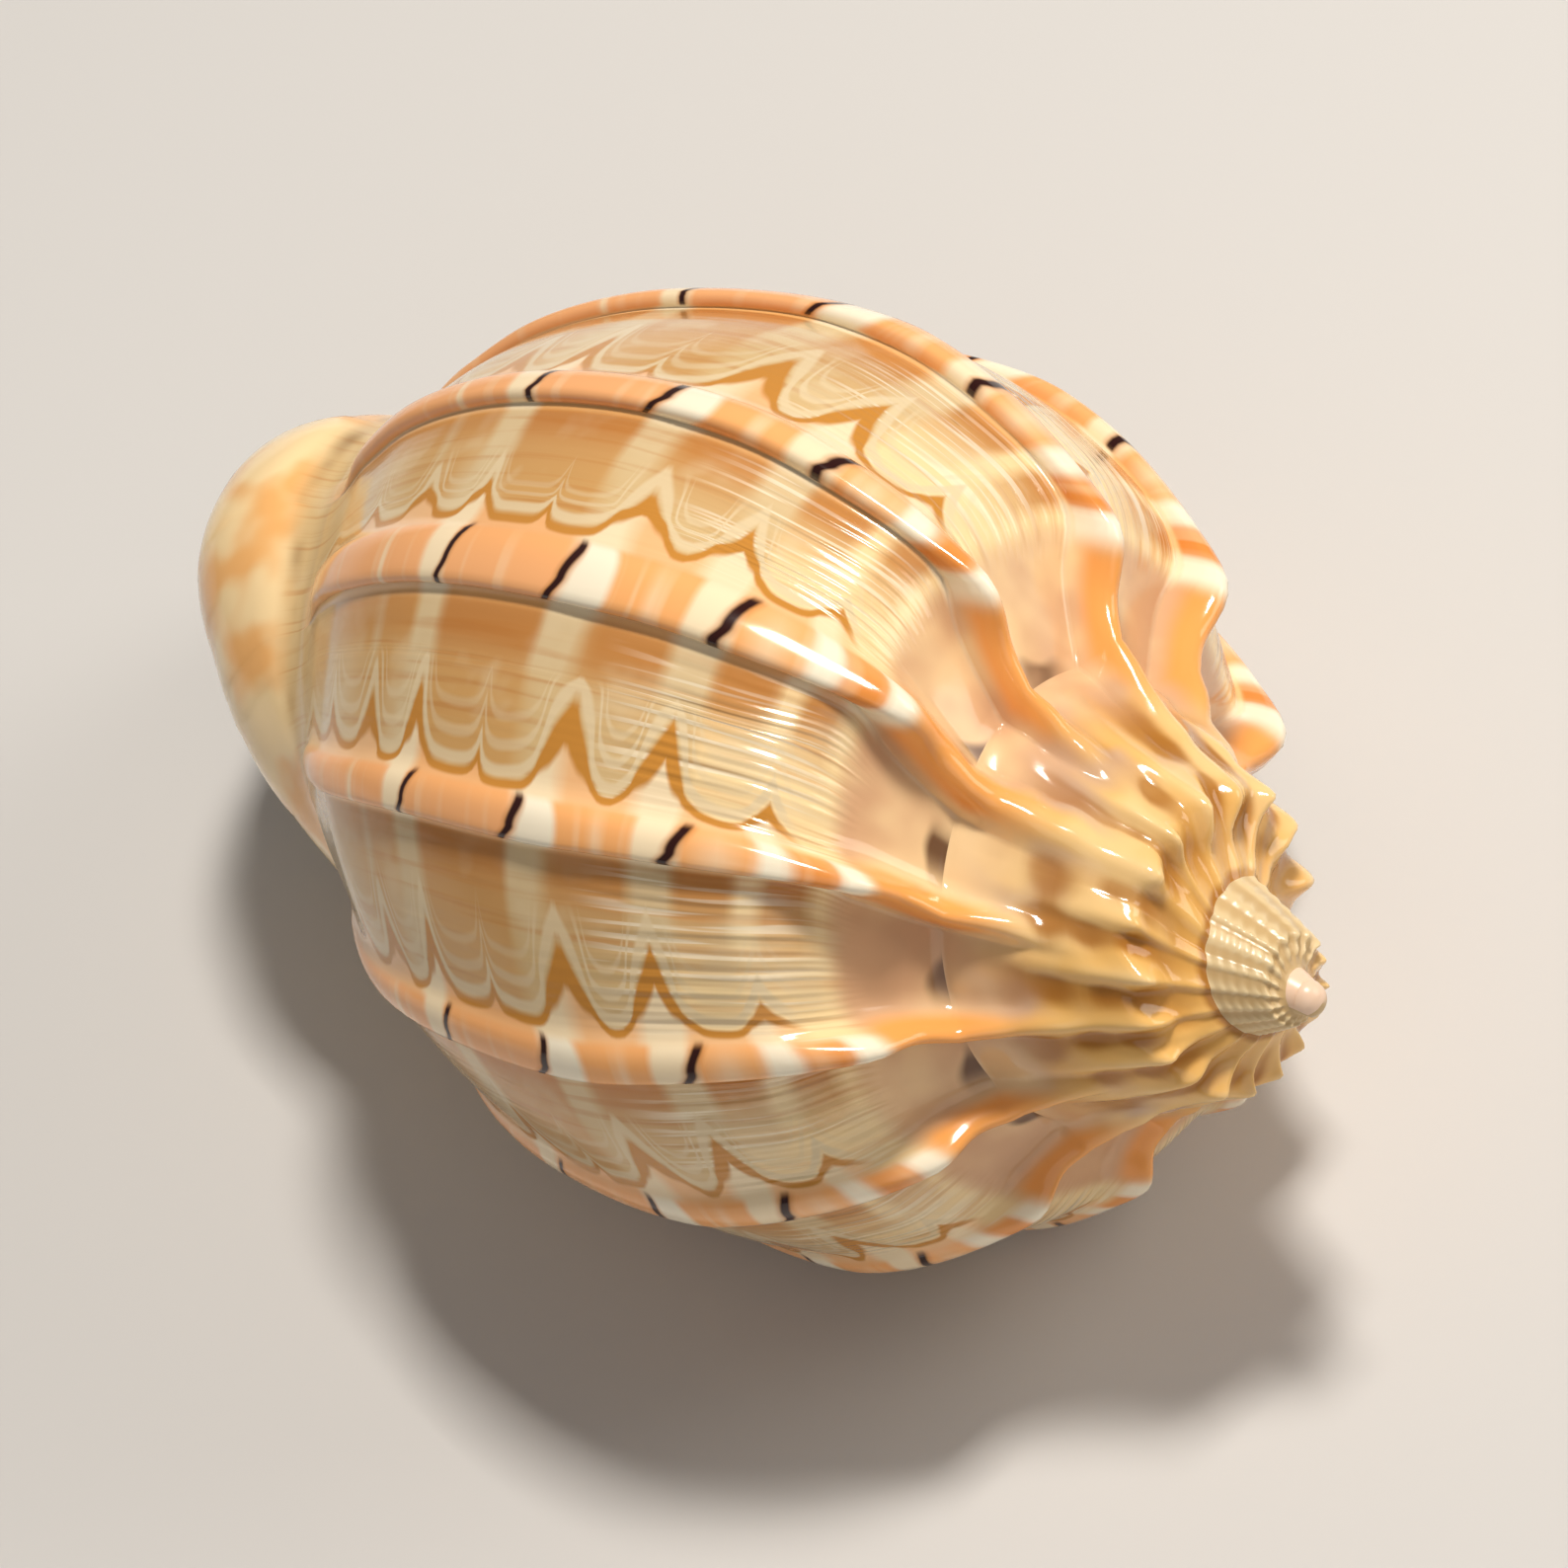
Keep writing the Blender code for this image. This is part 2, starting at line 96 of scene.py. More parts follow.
def curve_at(knots, place):
    """A smooth curve through rows that start with their place along it."""
    last = len(knots) - 2
    i = next((k for k in range(last + 1) if place <= knots[k + 1][0]), last)
    before, a, b, after = knots[max(i - 1, 0)], knots[i], knots[i + 1], knots[min(i + 2, last + 1)]
    span = b[0] - a[0]
    x = (place - a[0]) / span
    found = []
    for p, q, r, s in zip(before[1:], a[1:], b[1:], after[1:]):
        leave = (r - p) / (b[0] - before[0]) * span
        arrive = (s - q) / (after[0] - a[0]) * span
        turn = (2 * x**3 - 3 * x**2 + 1) * q + (x**3 - 2 * x**2 + x) * leave
        found.append(turn + (3 * x**2 - 2 * x**3) * r + (x**3 - x**2) * arrive)
    return found


def size_at(growth):
    """The shell's size at a growth, as a share of its size at the lip."""
    power = GROWTH * (growth - LIP_RIB)
    rate = GROWTH
    for start, faster in YOUNG_RATES:
        power -= (faster - rate) * max(0.0, start - growth)
        rate = faster
    return math.exp(power)


for rib in (FIRST_RIB, -20, -8, LIP_RIB):
    print("rib", rib, "stands", round(1000 * MOUTH_RADIUS * size_at(rib), 2), "mm from the axis")

# %% [markdown]
# ## The whorl from seam to base
# The whorl leaves the seam as a hollow channel, rises to a sharp shoulder, swells to its
# widest, and draws in to the base, where a rounded ridge of old mouth edges turns round the
# columella. Two curves describe it: one along the crests of the ribs and one along the floor
# between them. The snail's growth lines lean, so each row also lags by some degrees. Two tables
# hold the swellings of this one shell: of its ridge at the base, and of the whorl itself.

# %% Rows of the whorl
SEAM_PLACE = 0.33  # the next whorl is laid against the last along this row
WHORL = (  # place, crest (radius, depth), floor (radius, depth), lag in degrees
    (0.05, 0.588, 0.636, 0.590, 0.730, -1.5),
    (0.10, 0.708, 0.664, 0.708, 0.786, -2.5),
    (0.14, 0.794, 0.796, 0.782, 0.862, -2.2),
    (0.20, 0.898, 0.982, 0.858, 1.005, -1.2),
    (0.265, 0.964, 1.150, 0.922, 1.175, -0.3),
    (0.33, 0.991, 1.285, 0.955, 1.360, 0.5),
    (0.39, 0.999, 1.480, 0.960, 1.500, 0.9),
    (0.45, 0.984, 1.684, 0.944, 1.684, 1.3),
    (0.55, 0.942, 1.911, 0.903, 1.900, 2.1),
    (0.64, 0.860, 2.130, 0.828, 2.108, 3.1),
    (0.72, 0.742, 2.310, 0.716, 2.290, 3.3),
    (0.78, 0.622, 2.440, 0.614, 2.440, 5.0),
    (0.83, 0.605, 2.555, 0.605, 2.555, 10.0),
    (0.88, 0.535, 2.680, 0.535, 2.680, 20.0),
)
BASE_CORNER = (0.390, 2.830)
BASE_ROWS = ((0.93, 0.45, 25.0), (0.965, 0.78, 22.0), (1.00, 1.0, 18.0))
BASE_START = 1.42  # depth on the columella where the last whorl starts
COLUMELLA = ((1.20, 0.270), (1.50, 0.250), (1.85, 0.235), (2.10, 0.195), (2.32, 0.130), (2.50, 0.045))
CORNER_GAP = 0.02  # the corner of the base stays this far outside the columella
LOBE_PLACE = 0.80  # the ridge at the base starts at this place
TIP_PLACE = 0.10  # the point of a rib, on the shoulder
LOBE = (  # growth, how much the ridge at the base swells there
    (-9.0, 0.000), (-4.0, -0.035), (-1.5, -0.040), (0.0, 0.008),
    (1.2, 0.032), (2.4, -0.010), (3.2, -0.020), (4.5, -0.010),
)
SWELL = (  # growth, how much wider the whorl is there
    (-9.0, 0.000), (-6.0, 0.000), (-4.0, 0.014), (-2.6, 0.042), (-1.6, 0.034),
    (-0.6, 0.008), (0.5, 0.000), (3.0, 0.010), (4.5, 0.010),
)
GLAZE_ENDS = -5.5  # older ribs than this are glazed over
GLAZE_RIBS = 3.0  # over which the glaze gives way to bare ribs
BLADE_FOOT = (0.520, 0.590)  # radius and depth of a blade's crest where it meets the whorl before
CONE = 0.8  # how far glaze flattens the slope below the shoulder to a cone


def bareness(growth):
    """0 where glaze covers the ribs, 1 where they are bare."""
    return ease((growth - GLAZE_ENDS + GLAZE_RIBS) / GLAZE_RIBS)


def whorl_rows(growth):
    """The rows of the whorl at a growth, joined to the whorl before it and to the columella."""
    size = size_at(growth)
    before = size_at(growth - RIBS_PER_WHORL) / size
    bare = bareness(growth)
    joint = next(row for row in WHORL if row[0] == SEAM_PLACE)
    shoulder = next(row for row in WHORL if row[0] == TIP_PLACE)
    stretch = (1.0 - before) / (1.0 - 1.0 / WHORL_GROWTH)
    lobe = curve_at(LOBE, max(growth, LOBE[0][0]))[0]
    swell = curve_at(SWELL, max(growth, SWELL[0][0]))[0]
    start = [value * before for value in joint[1:5]]
    start[:2] = mix(start[:2], BLADE_FOOT, bare)
    rows = [(0.0, *start, joint[5])]
    for row in WHORL:
        if row[0] < SEAM_PLACE:
            shape = row[1:5]
            if row[0] > TIP_PLACE:
                along = (row[0] - TIP_PLACE) / (SEAM_PLACE - TIP_PLACE)
                shape = mix(shape, mix(shoulder[1:5], joint[1:5], along), CONE * (1.0 - bare))
            shape = [j + (value - j) * stretch for value, j in zip(shape, joint[1:5])]
            row = (row[0], *shape, row[5])
        if row[0] > LOBE_PLACE:
            row = (row[0], *(value + lobe for value in row[1:5]), row[5])
        elif row[0] > TIP_PLACE:
            row = (row[0], row[1] + swell, row[2], row[3] + swell, row[4], row[5])
        rows.append(row)
    ridge = rows[-1][1:3]
    grown = min(1.0, max(0.0, 1.0 - (LIP_RIB - growth) / RIBS_PER_WHORL))
    end_depth = BASE_START + (COLUMELLA[-1][0] - BASE_START) * math.sin(0.5 * math.pi * grown)
    end = (curve_at(COLUMELLA, end_depth)[0] / size, end_depth / size)
    corner = (max(BASE_CORNER[0], end[0] + CORNER_GAP), BASE_CORNER[1] + lobe)
    for place, share, lag in BASE_ROWS:
        turned = mix(mix(ridge, corner, share), mix(corner, end, share), share)
        rows.append((place, *turned, *turned, lag))
    return rows


print("the whorl has", len(whorl_rows(0.0)), "rows")

# %% [markdown]
# ## The ribs
# Each rib is an old lip: a narrow, rounded band whose older edge stands up crisply and leans
# back over the floor, and whose younger edge melts into the next space. In the channel beside
# the seam it spreads into a broad blade. The ribs are sharp on the last whorl and die out above
# the base, and beside the mouth the callus has covered them. Two short tables give the width of
# each of the twelve ribs, and how many degrees it stands away from its even place.

# %% Section of a rib
RIB_SECTION = (  # share of the way from rib to rib, the point there in rib spacings, its height
    (0.00, -0.062, 0.14),
    (0.05, -0.074, 0.36),
    (0.09, -0.078, 0.64),
    (0.12, -0.070, 0.87),
    (0.15, -0.054, 0.96),
    (0.20, -0.016, 1.00),
    (0.26, 0.040, 0.94),
    (0.31, 0.086, 0.70),
    (0.36, 0.124, 0.34),
    (0.42, 0.175, 0.12),
    (0.52, 0.290, 0.03),
    (0.75, 0.600, 0.00),
    (0.88, 0.780, 0.03),
    (1.00, 0.938, 0.14),
)
BLADE_SECTION = (  # the same for the blade in the channel
    (0.00, -0.100, 0.00),
    (0.06, -0.085, 0.20),
    (0.12, -0.055, 0.62),
    (0.18, -0.020, 0.92),
    (0.24, 0.025, 1.00),
    (0.28, 0.060, 0.95),
    (0.33, 0.100, 0.78),
    (0.39, 0.155, 0.42),
    (0.45, 0.215, 0.14),
    (0.52, 0.300, 0.02),
    (0.60, 0.390, 0.00),
    (0.75, 0.600, 0.00),
    (1.00, 0.900, 0.00),
)
BLADE_PLACE = 0.06  # a rib is a blade from the seam to this place,
BLADE_FADE = 0.05  # and turns into a rib over this much of the whorl
LIP_SHARE = 9 / 32  # the lip ends this far through the last rib
LIP_OFFSET = curve_at(RIB_SECTION, LIP_SHARE)[0]
CALLUS_ENDS = -4.6  # older ribs than this are under the callus
CALLUS_RIBS = 1.8  # over which it thins out
CALLUS_HEIGHT = 0.3
CALLUS_REACH = 0.08  # how far past the seam it is at its full height
RIBS_END = 0.785  # the place where the ribs have died out
RIBS_TAPER = 0.05
RIB_SHIFT = (-0.5, 3.5, 2.0, 2.0, 1.8, 0.0, -2.0, -3.5, -3.5, -3.5, -1.3, -0.9)  # degrees
RIB_WIDTH = (1.5, 1.0, 1.1, 1.1, 1.2, 1.0, 1.0, 1.0, 1.0, 1.0, 1.0, 1.0)
TIP_SPREAD = 0.05  # how far along the whorl the point of a rib reaches
TIP_NARROWING = 0.2
RIB_HALF = 0.15  # closer to the crest than this, in rib spacings, all is rib
RIB_MARGIN = 0.3  # and over this much more the widening dies out


def rib_shift(growth):
    """Ribs are not evenly spaced: how far this one stands from its even place, in radians."""
    rib = math.floor(growth)
    a, b = (RIB_SHIFT[k % RIBS_PER_WHORL] for k in (rib, rib + 1))
    return math.radians(a + (b - a) * ease(growth - rib))


def sweep(radius, depth, growth, lag=0.0):
    """A point of the growing whorl, from shares of the mouth radius at a growth."""
    scale = MOUTH_RADIUS * size_at(growth)
    turn = -2.0 * math.pi * growth / RIBS_PER_WHORL + rib_shift(growth) + math.radians(lag)
    return Vector((radius * math.cos(turn), radius * math.sin(turn), -depth)) * scale


def rib_widened(offset, rib, narrowing):
    """The offset stretched by the width of the rib it belongs to, and left alone between ribs."""
    centre = round(offset)
    away = offset - centre
    width = RIB_WIDTH[(rib + centre) % RIBS_PER_WHORL] * (1.0 - narrowing)
    return centre + away * (1.0 + (width - 1.0) * (1.0 - ease((abs(away) - RIB_HALF) / RIB_MARGIN)))


for rib in (-4, 0, LIP_RIB):
    spacing = (sweep(1, 0, rib).xy - sweep(1, 0, rib - 1).xy).length
    print("rib", rib, "stands", round(1000 * spacing, 1), "mm from the one before it")

# %% [markdown]
# ## The glazed spire
# The animal pours glaze over its spire. The ribs of the whorl before the last one are only low,
# uneven ridges under it, each with a blunt point on the shoulder. The first whorls are free of
# glaze: low ribs crossed by rows of fine beads, and quite smooth at the very start.

# %% Ridges under the glaze
SOFT_BY_SEAM = 0.05  # up to this place they keep the line of the whorl before
SOFT_HEIGHT = 0.62
SOFT_POWER = 1.5  # how narrow they are
SOFT_LEAN = 0.5  # the older side of each is the steeper
SOFT_START = 0.1  # they start low beside the whorl before,
SOFT_FADE = 0.5  # and get lower again down the slope to the next whorl
CLOSE_RIBS = 1.5  # ribs of the spire to each rib of the last whorl
CLOSE_BEFORE = -7.75  # growth before which they stand that close
NODULE_PLACE = 0.12
NODULE_SPREAD = 0.035
NODULE_HEIGHT = 0.4
YOUNG_BEFORE = -22.0  # growth before which the ribs are those of a young shell
YOUNG_HEIGHT = 0.34
SMOOTH_BEFORE = -31.0  # the very first whorl has no ribs
BEAD_PERIOD = 0.047
BEAD_HEIGHT = 0.35
LUMP_HEIGHT = 0.35  # the glaze is lumpy like wax


def soft_ridges(growth, place):
    """Height of the ridges under the glaze, and of the beads on the first whorls."""
    count = growth
    if growth < CLOSE_BEFORE:
        count = CLOSE_BEFORE + CLOSE_RIBS * (growth - CLOSE_BEFORE)
    turn = 2.0 * math.pi * count
    ridge = (0.5 + 0.5 * math.cos(turn + SOFT_LEAN * math.cos(turn))) ** SOFT_POWER
    own = noise.noise(Vector((7.3 * round(count), 0.0, 0.0)))
    adult = ease((growth - YOUNG_BEFORE) / GLAZE_RIBS)
    near = 1.0 - ease(place / NODULE_PLACE)
    slope = ease((place - NODULE_PLACE) / (SEAM_PLACE - NODULE_PLACE))
    ridge *= 1.0 - ((1.0 - SOFT_START) * near + SOFT_FADE * slope) * adult
    nodule = NODULE_HEIGHT * math.exp(-(((place - NODULE_PLACE) / NODULE_SPREAD) ** 2))
    height = ridge * (1.0 + 0.5 * own + nodule)
    lump = LUMP_HEIGHT * noise.noise(Vector((1.7 * growth, 22.0 * place, 4.0)))
    thread = 0.5 + 0.5 * math.cos(2.0 * math.pi * place / BEAD_PERIOD)
    netted = BEAD_HEIGHT * (0.4 + 0.6 * ridge) * thread
    young = YOUNG_HEIGHT * ridge + netted
    height = young + (SOFT_HEIGHT * height + lump - young) * adult
    return height * ease((growth - SMOOTH_BEFORE) / GLAZE_RIBS)


def growth_line(growth, places):
    """The points of one growth line at each of these places, each with its height on the rib."""
    rib = math.floor(growth)
    share = growth - rib
    even = LIP_OFFSET + share - LIP_SHARE
    own = rib + even
    rib_offset, raised = curve_at(RIB_SECTION, share)
    blade_offset, blade = curve_at(BLADE_SECTION, share)
    bare = bareness(own)
    blade_offset = even + (blade_offset - even) * bare
    rows = whorl_rows(own)
    covered = ease((CALLUS_ENDS - own) / CALLUS_RIBS)
    points = []
    for place in places:
        crest_r, crest_z, floor_r, floor_z, lag = curve_at(rows, place)
        callus = covered * ease((place - SEAM_PLACE) / CALLUS_REACH)
        sharp = bare * (1.0 - callus) * ease((RIBS_END - place) / RIBS_TAPER)
        turned = ease((place - BLADE_PLACE) / BLADE_FADE)
        glazed = 0.0
        if bare < 1.0:
            glazed = soft_ridges(own - RIBS_PER_WHORL, SEAM_PLACE)
            glazed += (soft_ridges(own, place) - glazed) * ease(place / SOFT_BY_SEAM)
        height = glazed + (blade + (raised - blade) * turned - glazed) * sharp
        height += (CALLUS_HEIGHT - height) * callus
        point = math.exp(-(((place - TIP_PLACE) / TIP_SPREAD) ** 2)) * sharp
        offset = blade_offset + (rib_offset - blade_offset) * sharp * turned
        moved = rib_widened(offset, rib, TIP_NARROWING * point)
        radius = floor_r + (crest_r - floor_r) * height
        depth = floor_z + (crest_z - floor_z) * height
        points.append((sweep(radius, depth, rib + moved, lag), height))
    return points


print("ridges on the last glazed whorl:", round(CLOSE_RIBS * RIBS_PER_WHORL))

# %% [markdown]
# ## Rolling up the sheet
# A flat grid stands for the whole life of the shell, with growth along it and place across it.
# Its texture map is laid while it is flat, so every pattern can later be painted by growth
# and place. Then the part of the young whorls that the next whorl hides is cut away, and each
# column of the grid is moved to its growth line.

# %% The grid becomes a shell
STEPS = 32  # columns from rib to rib
ROWS_ABOVE = 32
ROWS_BELOW = 72
ROWS = ROWS_ABOVE + ROWS_BELOW
TURN = RIBS_PER_WHORL * STEPS
COLUMNS = round((LIP_RIB + LIP_SHARE - FIRST_RIB) * STEPS)
WHOLE_FROM = COLUMNS - TURN  # the last whorl is whole from this column on

places = [SEAM_PLACE * i / ROWS_ABOVE for i in range(ROWS_ABOVE)]
places += [SEAM_PLACE + (1.0 - SEAM_PLACE) * i / ROWS_BELOW for i in range(ROWS_BELOW + 1)]

bm = bmesh.new()
pattern_map = bm.loops.layers.uv.new("growth and place")
growth_layer = bm.verts.layers.float.new("growth")
place_layer = bm.verts.layers.float.new("place")
lining_layer = bm.verts.layers.float.new("lining")
height_layer = bm.verts.layers.float.new("height")
bmesh.ops.create_grid(bm, x_segments=COLUMNS, y_segments=ROWS, size=1.0, calc_uvs=True)

lines = [[None] * (ROWS + 1) for column in range(COLUMNS + 1)]
for vert in bm.verts:
    column, row = round((vert.co.x + 1.0) / 2.0 * COLUMNS), round((vert.co.y + 1.0) / 2.0 * ROWS)
    vert[growth_layer] = FIRST_RIB + column / STEPS
    vert[place_layer] = places[row]
    lines[column][row] = vert
for face in bm.faces:
    for loop in face.loops:
        loop[pattern_map].uv = (loop.vert[growth_layer], loop.vert[place_layer])

hidden = []
for face in bm.faces:
    middle = face.calc_center_median()
    column, row = (middle.x + 1.0) / 2.0 * COLUMNS, (middle.y + 1.0) / 2.0 * ROWS
    if column < WHOLE_FROM and row > ROWS_ABOVE:
        hidden.append(face)
bmesh.ops.delete(bm, geom=hidden, context="FACES")
for column, line in enumerate(lines):
    kept = line if column >= WHOLE_FROM else line[: ROWS_ABOVE + 1]
    for vert, (point, height) in zip(kept, growth_line(FIRST_RIB + column / STEPS, places)):
        vert.co = point
        vert[height_layer] = height
print("the sheet has", len(bm.verts), "points and", len(bm.faces), "faces")

# %% [markdown]
# Each whorl is laid onto the one before it. Where a blade meets the older whorl, the glaze runs
# from one into the other, so the slope of the older whorl is drawn out to the foot of the blade.

# %% Flares along the seam
FLARE_FROM = 0.15
FLARE_POWER = 1.5

for earlier, later in zip(lines, lines[TURN:]):
    pull = later[0].co - earlier[ROWS_ABOVE].co
    for vert, place in zip(earlier[: ROWS_ABOVE + 1], places):
        share = max(0.0, (place - FLARE_FROM) / (SEAM_PLACE - FLARE_FROM)) ** FLARE_POWER
        vert.co += pull * share
        vert[height_layer] += (later[0][height_layer] - vert[height_layer]) * share
print("the last blade draws the whorl before it out by", round(1000 * pull.length, 2), "mm")

# %% [markdown]
# Now the first point of each column is welded to the point one turn earlier. The edge that wraps
# the columella needs fewer points, so it is thinned. The edge of the mouth and the wall of the
# whorl before are kept for the hollow.

# %% Closing the seam
first_line = lines[0][: ROWS_ABOVE + 1]
top_edge = [line[0] for line in lines]
bmesh.ops.weld_verts(
    bm, targetmap={lines[i][0]: lines[i - TURN][ROWS_ABOVE] for i in range(TURN, COLUMNS + 1)}
)
inner_edge = [line[ROWS] for line in lines[WHOLE_FROM:]]
lip = lines[COLUMNS]
parietal = lines[WHOLE_FROM][ROWS_ABOVE:]
lip[0] = parietal[0]


def thin_out(line, every):
    """Welds an ordered line of points in groups and gives the points that stay."""
    kept = line[::every]
    pairs = {vert: kept[i // every] for i, vert in enumerate(line) if i % every}
    bmesh.ops.weld_verts(bm, targetmap=pairs)
    return kept


def extend(line):
    """Extrudes the edges of a closed line of points and gives the new line."""
    edges = [bm.edges.get(pair) for pair in zip(line, line[1:] + line[:1])]
    made = bmesh.ops.extrude_edge_only(bm, edges=edges)["geom"]
    fresh = {item for item in made if isinstance(item, bmesh.types.BMVert)}
    sides = ((edge.other_vert(vert) for edge in vert.link_edges) for vert in line)
    return [next(vert for vert in side if vert in fresh) for side in sides]


INNER_EVERY = STEPS // 4  # one point in this many stays on the edge round the columella
inner_edge = thin_out(inner_edge[:-1], INNER_EVERY)
print("the seam is closed over", COLUMNS - TURN, "points")

# %% [markdown]
# ## The first whorl
# The snail hatched with a smooth, rounded shell. It still sits at the tip of the spire as a small
# pearl. The hole at its middle is closed by a few shrinking rings, and then every point near the
# tip that lies inside the pearl is moved straight out to its surface.

# %% The tip of the spire
SPIRE_TIP = (  # radius and height of each ring, in shares of the mouth radius
    (0.0165, -0.0125),
    (0.0140, -0.0075),
    (0.0105, -0.0035),
    (0.0065, -0.0008),
    (0.0030, 0.0006),
)
RING_EVERY = 8  # one point in this many goes on from the first ring
TIP_HEIGHT = 0.0012
ring = top_edge[:TURN] + first_line[:0:-1]
ring_start = math.atan2(ring[0].co.y, ring[0].co.x)
for i, (radius, height) in enumerate(SPIRE_TIP):
    line = extend(ring)
    for k, vert in enumerate(line):
        turn = ring_start - 2.0 * math.pi * k / len(line)
        vert.co = Vector((radius * math.cos(turn), radius * math.sin(turn), height)) * MOUTH_RADIUS
        vert[growth_layer], vert[place_layer] = FIRST_RIB, 0.0
    ring = thin_out(line, RING_EVERY) if i == 0 else line
tip = Vector((0.0, 0.0, TIP_HEIGHT * MOUTH_RADIUS))
bmesh.ops.pointmerge(bm, verts=ring, merge_co=tip)

PEARL_RADIUS = 0.030 * MOUTH_RADIUS
moved_out = 0
for vert in bm.verts:
    depth = tip.z - vert.co.z
    if 0.0 < depth < PEARL_RADIUS and vert[growth_layer] < SMOOTH_BEFORE:
        reach = vert.co.xy.length
        on_pearl = math.sqrt(depth * (2.0 * PEARL_RADIUS - depth))
        if 0.0 < reach < on_pearl:
            vert.co.xy *= on_pearl / reach
            moved_out += 1
print("the pearl is", round(2000 * PEARL_RADIUS, 2), "mm across, and", moved_out, "points were moved to it")

# %% [markdown]
# ## The mouth
# The edge of the mouth runs down the outer lip, round the notch at the base, and back up the
# columella and the wall of the whorl before. From that edge the lip is rounded over. The hollow
# then follows the whorl back for nine ribs, three quarters of a turn, and is closed there. In a
# real shell it narrows on up into the spire, which nobody can see from outside.

# %% Lip and hollow
BORE_OUTER = (  # radius, depth
    (0.600, 0.868), (0.720, 0.905), (0.805, 1.050), (0.862, 1.230), (0.880, 1.450),
    (0.862, 1.700), (0.815, 1.910), (0.735, 2.110), (0.620, 2.290), (0.510, 2.440),
    (0.420, 2.550), (0.310, 2.600), (0.210, 2.570), (0.130, 2.510),
)
BORE_INNER = (  # depth, radius
    (0.880, 0.548), (0.950, 0.525), (1.080, 0.475), (1.240, 0.395), (1.390, 0.300),
    (1.600, 0.240), (1.850, 0.220), (2.100, 0.190), (2.310, 0.135), (2.420, 0.090),
)
BORE_RIBS = 9
RIM = (  # step, share of the way in, degrees ahead of the lip, share of the way round the columella
    (0.0, 0.0, 0.0, 0.0),
    (1.0, 0.15, 3.0, 0.2),
    (2.0, 0.40, 3.5, 0.4),
    (3.0, 0.65, 3.0, 0.6),
    (4.0, 0.85, 1.0, 0.8),
    (5.0, 1.00, -3.0, 1.0),
)
RIM_RINGS = 12
RINGS_PER_RIB = 4
SAME_POINT = 1e-6  # points of the hollow closer than this are one point


def by_length(points):
    """Rows of a curve whose places along it run from 0 to 1 with its length."""
    runs = [math.dist(a, b) for a, b in zip(points, points[1:])]
    whole = sum(runs)
    return [(sum(runs[:i]) / whole, *point) for i, point in enumerate(points)]


rim = lip + inner_edge[:0:-1] + parietal[:0:-1]
outer = by_length(BORE_OUTER)
lags = [curve_at(whorl_rows(LIP_RIB), place)[4] for place in places]
ways = [(curve_at(outer, i / ROWS), lags[i], lags[i], None) for i in range(ROWS)]
ways.append((BORE_OUTER[-1], lags[-1], 0.0, 1.0))
axis_count = len(inner_edge) - 1
parietal_count = len(parietal) - 1
for i, vert in enumerate(rim[ROWS + 1 :], 1):
    if i <= axis_count:
        depth = min(-vert.co.z / MOUTH_RADIUS, BORE_INNER[-1][0])
        lag, on_axis = lags[-1], 1.0 - i / (axis_count + 1)
    else:
        down = (i - axis_count) / (parietal_count + 1)
        depth = BASE_START + (BORE_INNER[0][0] - BASE_START) * down
        lag, on_axis = lags[axis_count - i], None
    ways.append(((curve_at(BORE_INNER, depth)[0], depth), lag, 0.0, on_axis))

outline = [
    (math.hypot(vert.co.x, vert.co.y) / MOUTH_RADIUS, -vert.co.z / MOUTH_RADIUS) for vert in rim
]
names = [(vert[growth_layer], vert[place_layer]) for vert in rim]
skin_faces = set(bm.faces)
lip_growth = LIP_RIB + LIP_OFFSET
line = rim
for k in range(1, RIM_RINGS + 1):
    share, ahead, turned = curve_at(RIM, RIM[-1][0] * k / RIM_RINGS)
    line = extend(line)
    for vert, name, start, (bore, rim_lag, bore_lag, on_axis) in zip(line, names, outline, ways):
        if on_axis is None:
            radius, depth = mix(start, bore, share)
            lag = rim_lag + (bore_lag - rim_lag) * share - ahead
        else:
            radius, depth = mix(start, bore, turned)
            lag = (rim_lag - 360.0 * on_axis) * (1.0 - turned)
            if k < RIM_RINGS:
                radius = curve_at(COLUMELLA, depth)[0]
        vert.co = sweep(radius, depth, lip_growth, lag)
        vert[growth_layer], vert[place_layer] = name
        vert[lining_layer] = k / RIM_RINGS
for k in range(1, BORE_RIBS * RINGS_PER_RIB + 1):
    line = extend(line)
    for vert, name, (bore, _, bore_lag, _) in zip(line, names, ways):
        vert.co = sweep(*bore, lip_growth - k / RINGS_PER_RIB, bore_lag)
        vert[growth_layer], vert[place_layer] = name[0] - k / RINGS_PER_RIB, name[1]
        vert[lining_layer] = 1.0
middle = sum((vert.co for vert in line), Vector()) / len(line)
bmesh.ops.pointmerge(bm, verts=line, merge_co=middle)
hollow = [vert for vert in bm.verts if vert[lining_layer] == 1.0]
bmesh.ops.remove_doubles(bm, verts=hollow, dist=SAME_POINT)
for face in bm.faces:
    if face not in skin_faces:
        for loop in face.loops:
            loop[pattern_map].uv = (loop.vert[growth_layer], loop.vert[place_layer])
print("the hollow goes back", BORE_RIBS, "ribs")

# %% [markdown]
# Growth lines crowd together where the base wraps the end of the columella, and some of their
# faces cut through each other. Smoothing the last rows undoes nearly all of these folds. It
# leaves four pairs of small faces that still cross, which no count of open edges shows.

# %% Glaze on the end of the columella
GLAZED_FROM = 0.92  # the place from which the rows are smoothed
GLAZED_IN = 0.95  # how far in over the rim
GLAZE_COATS = 12

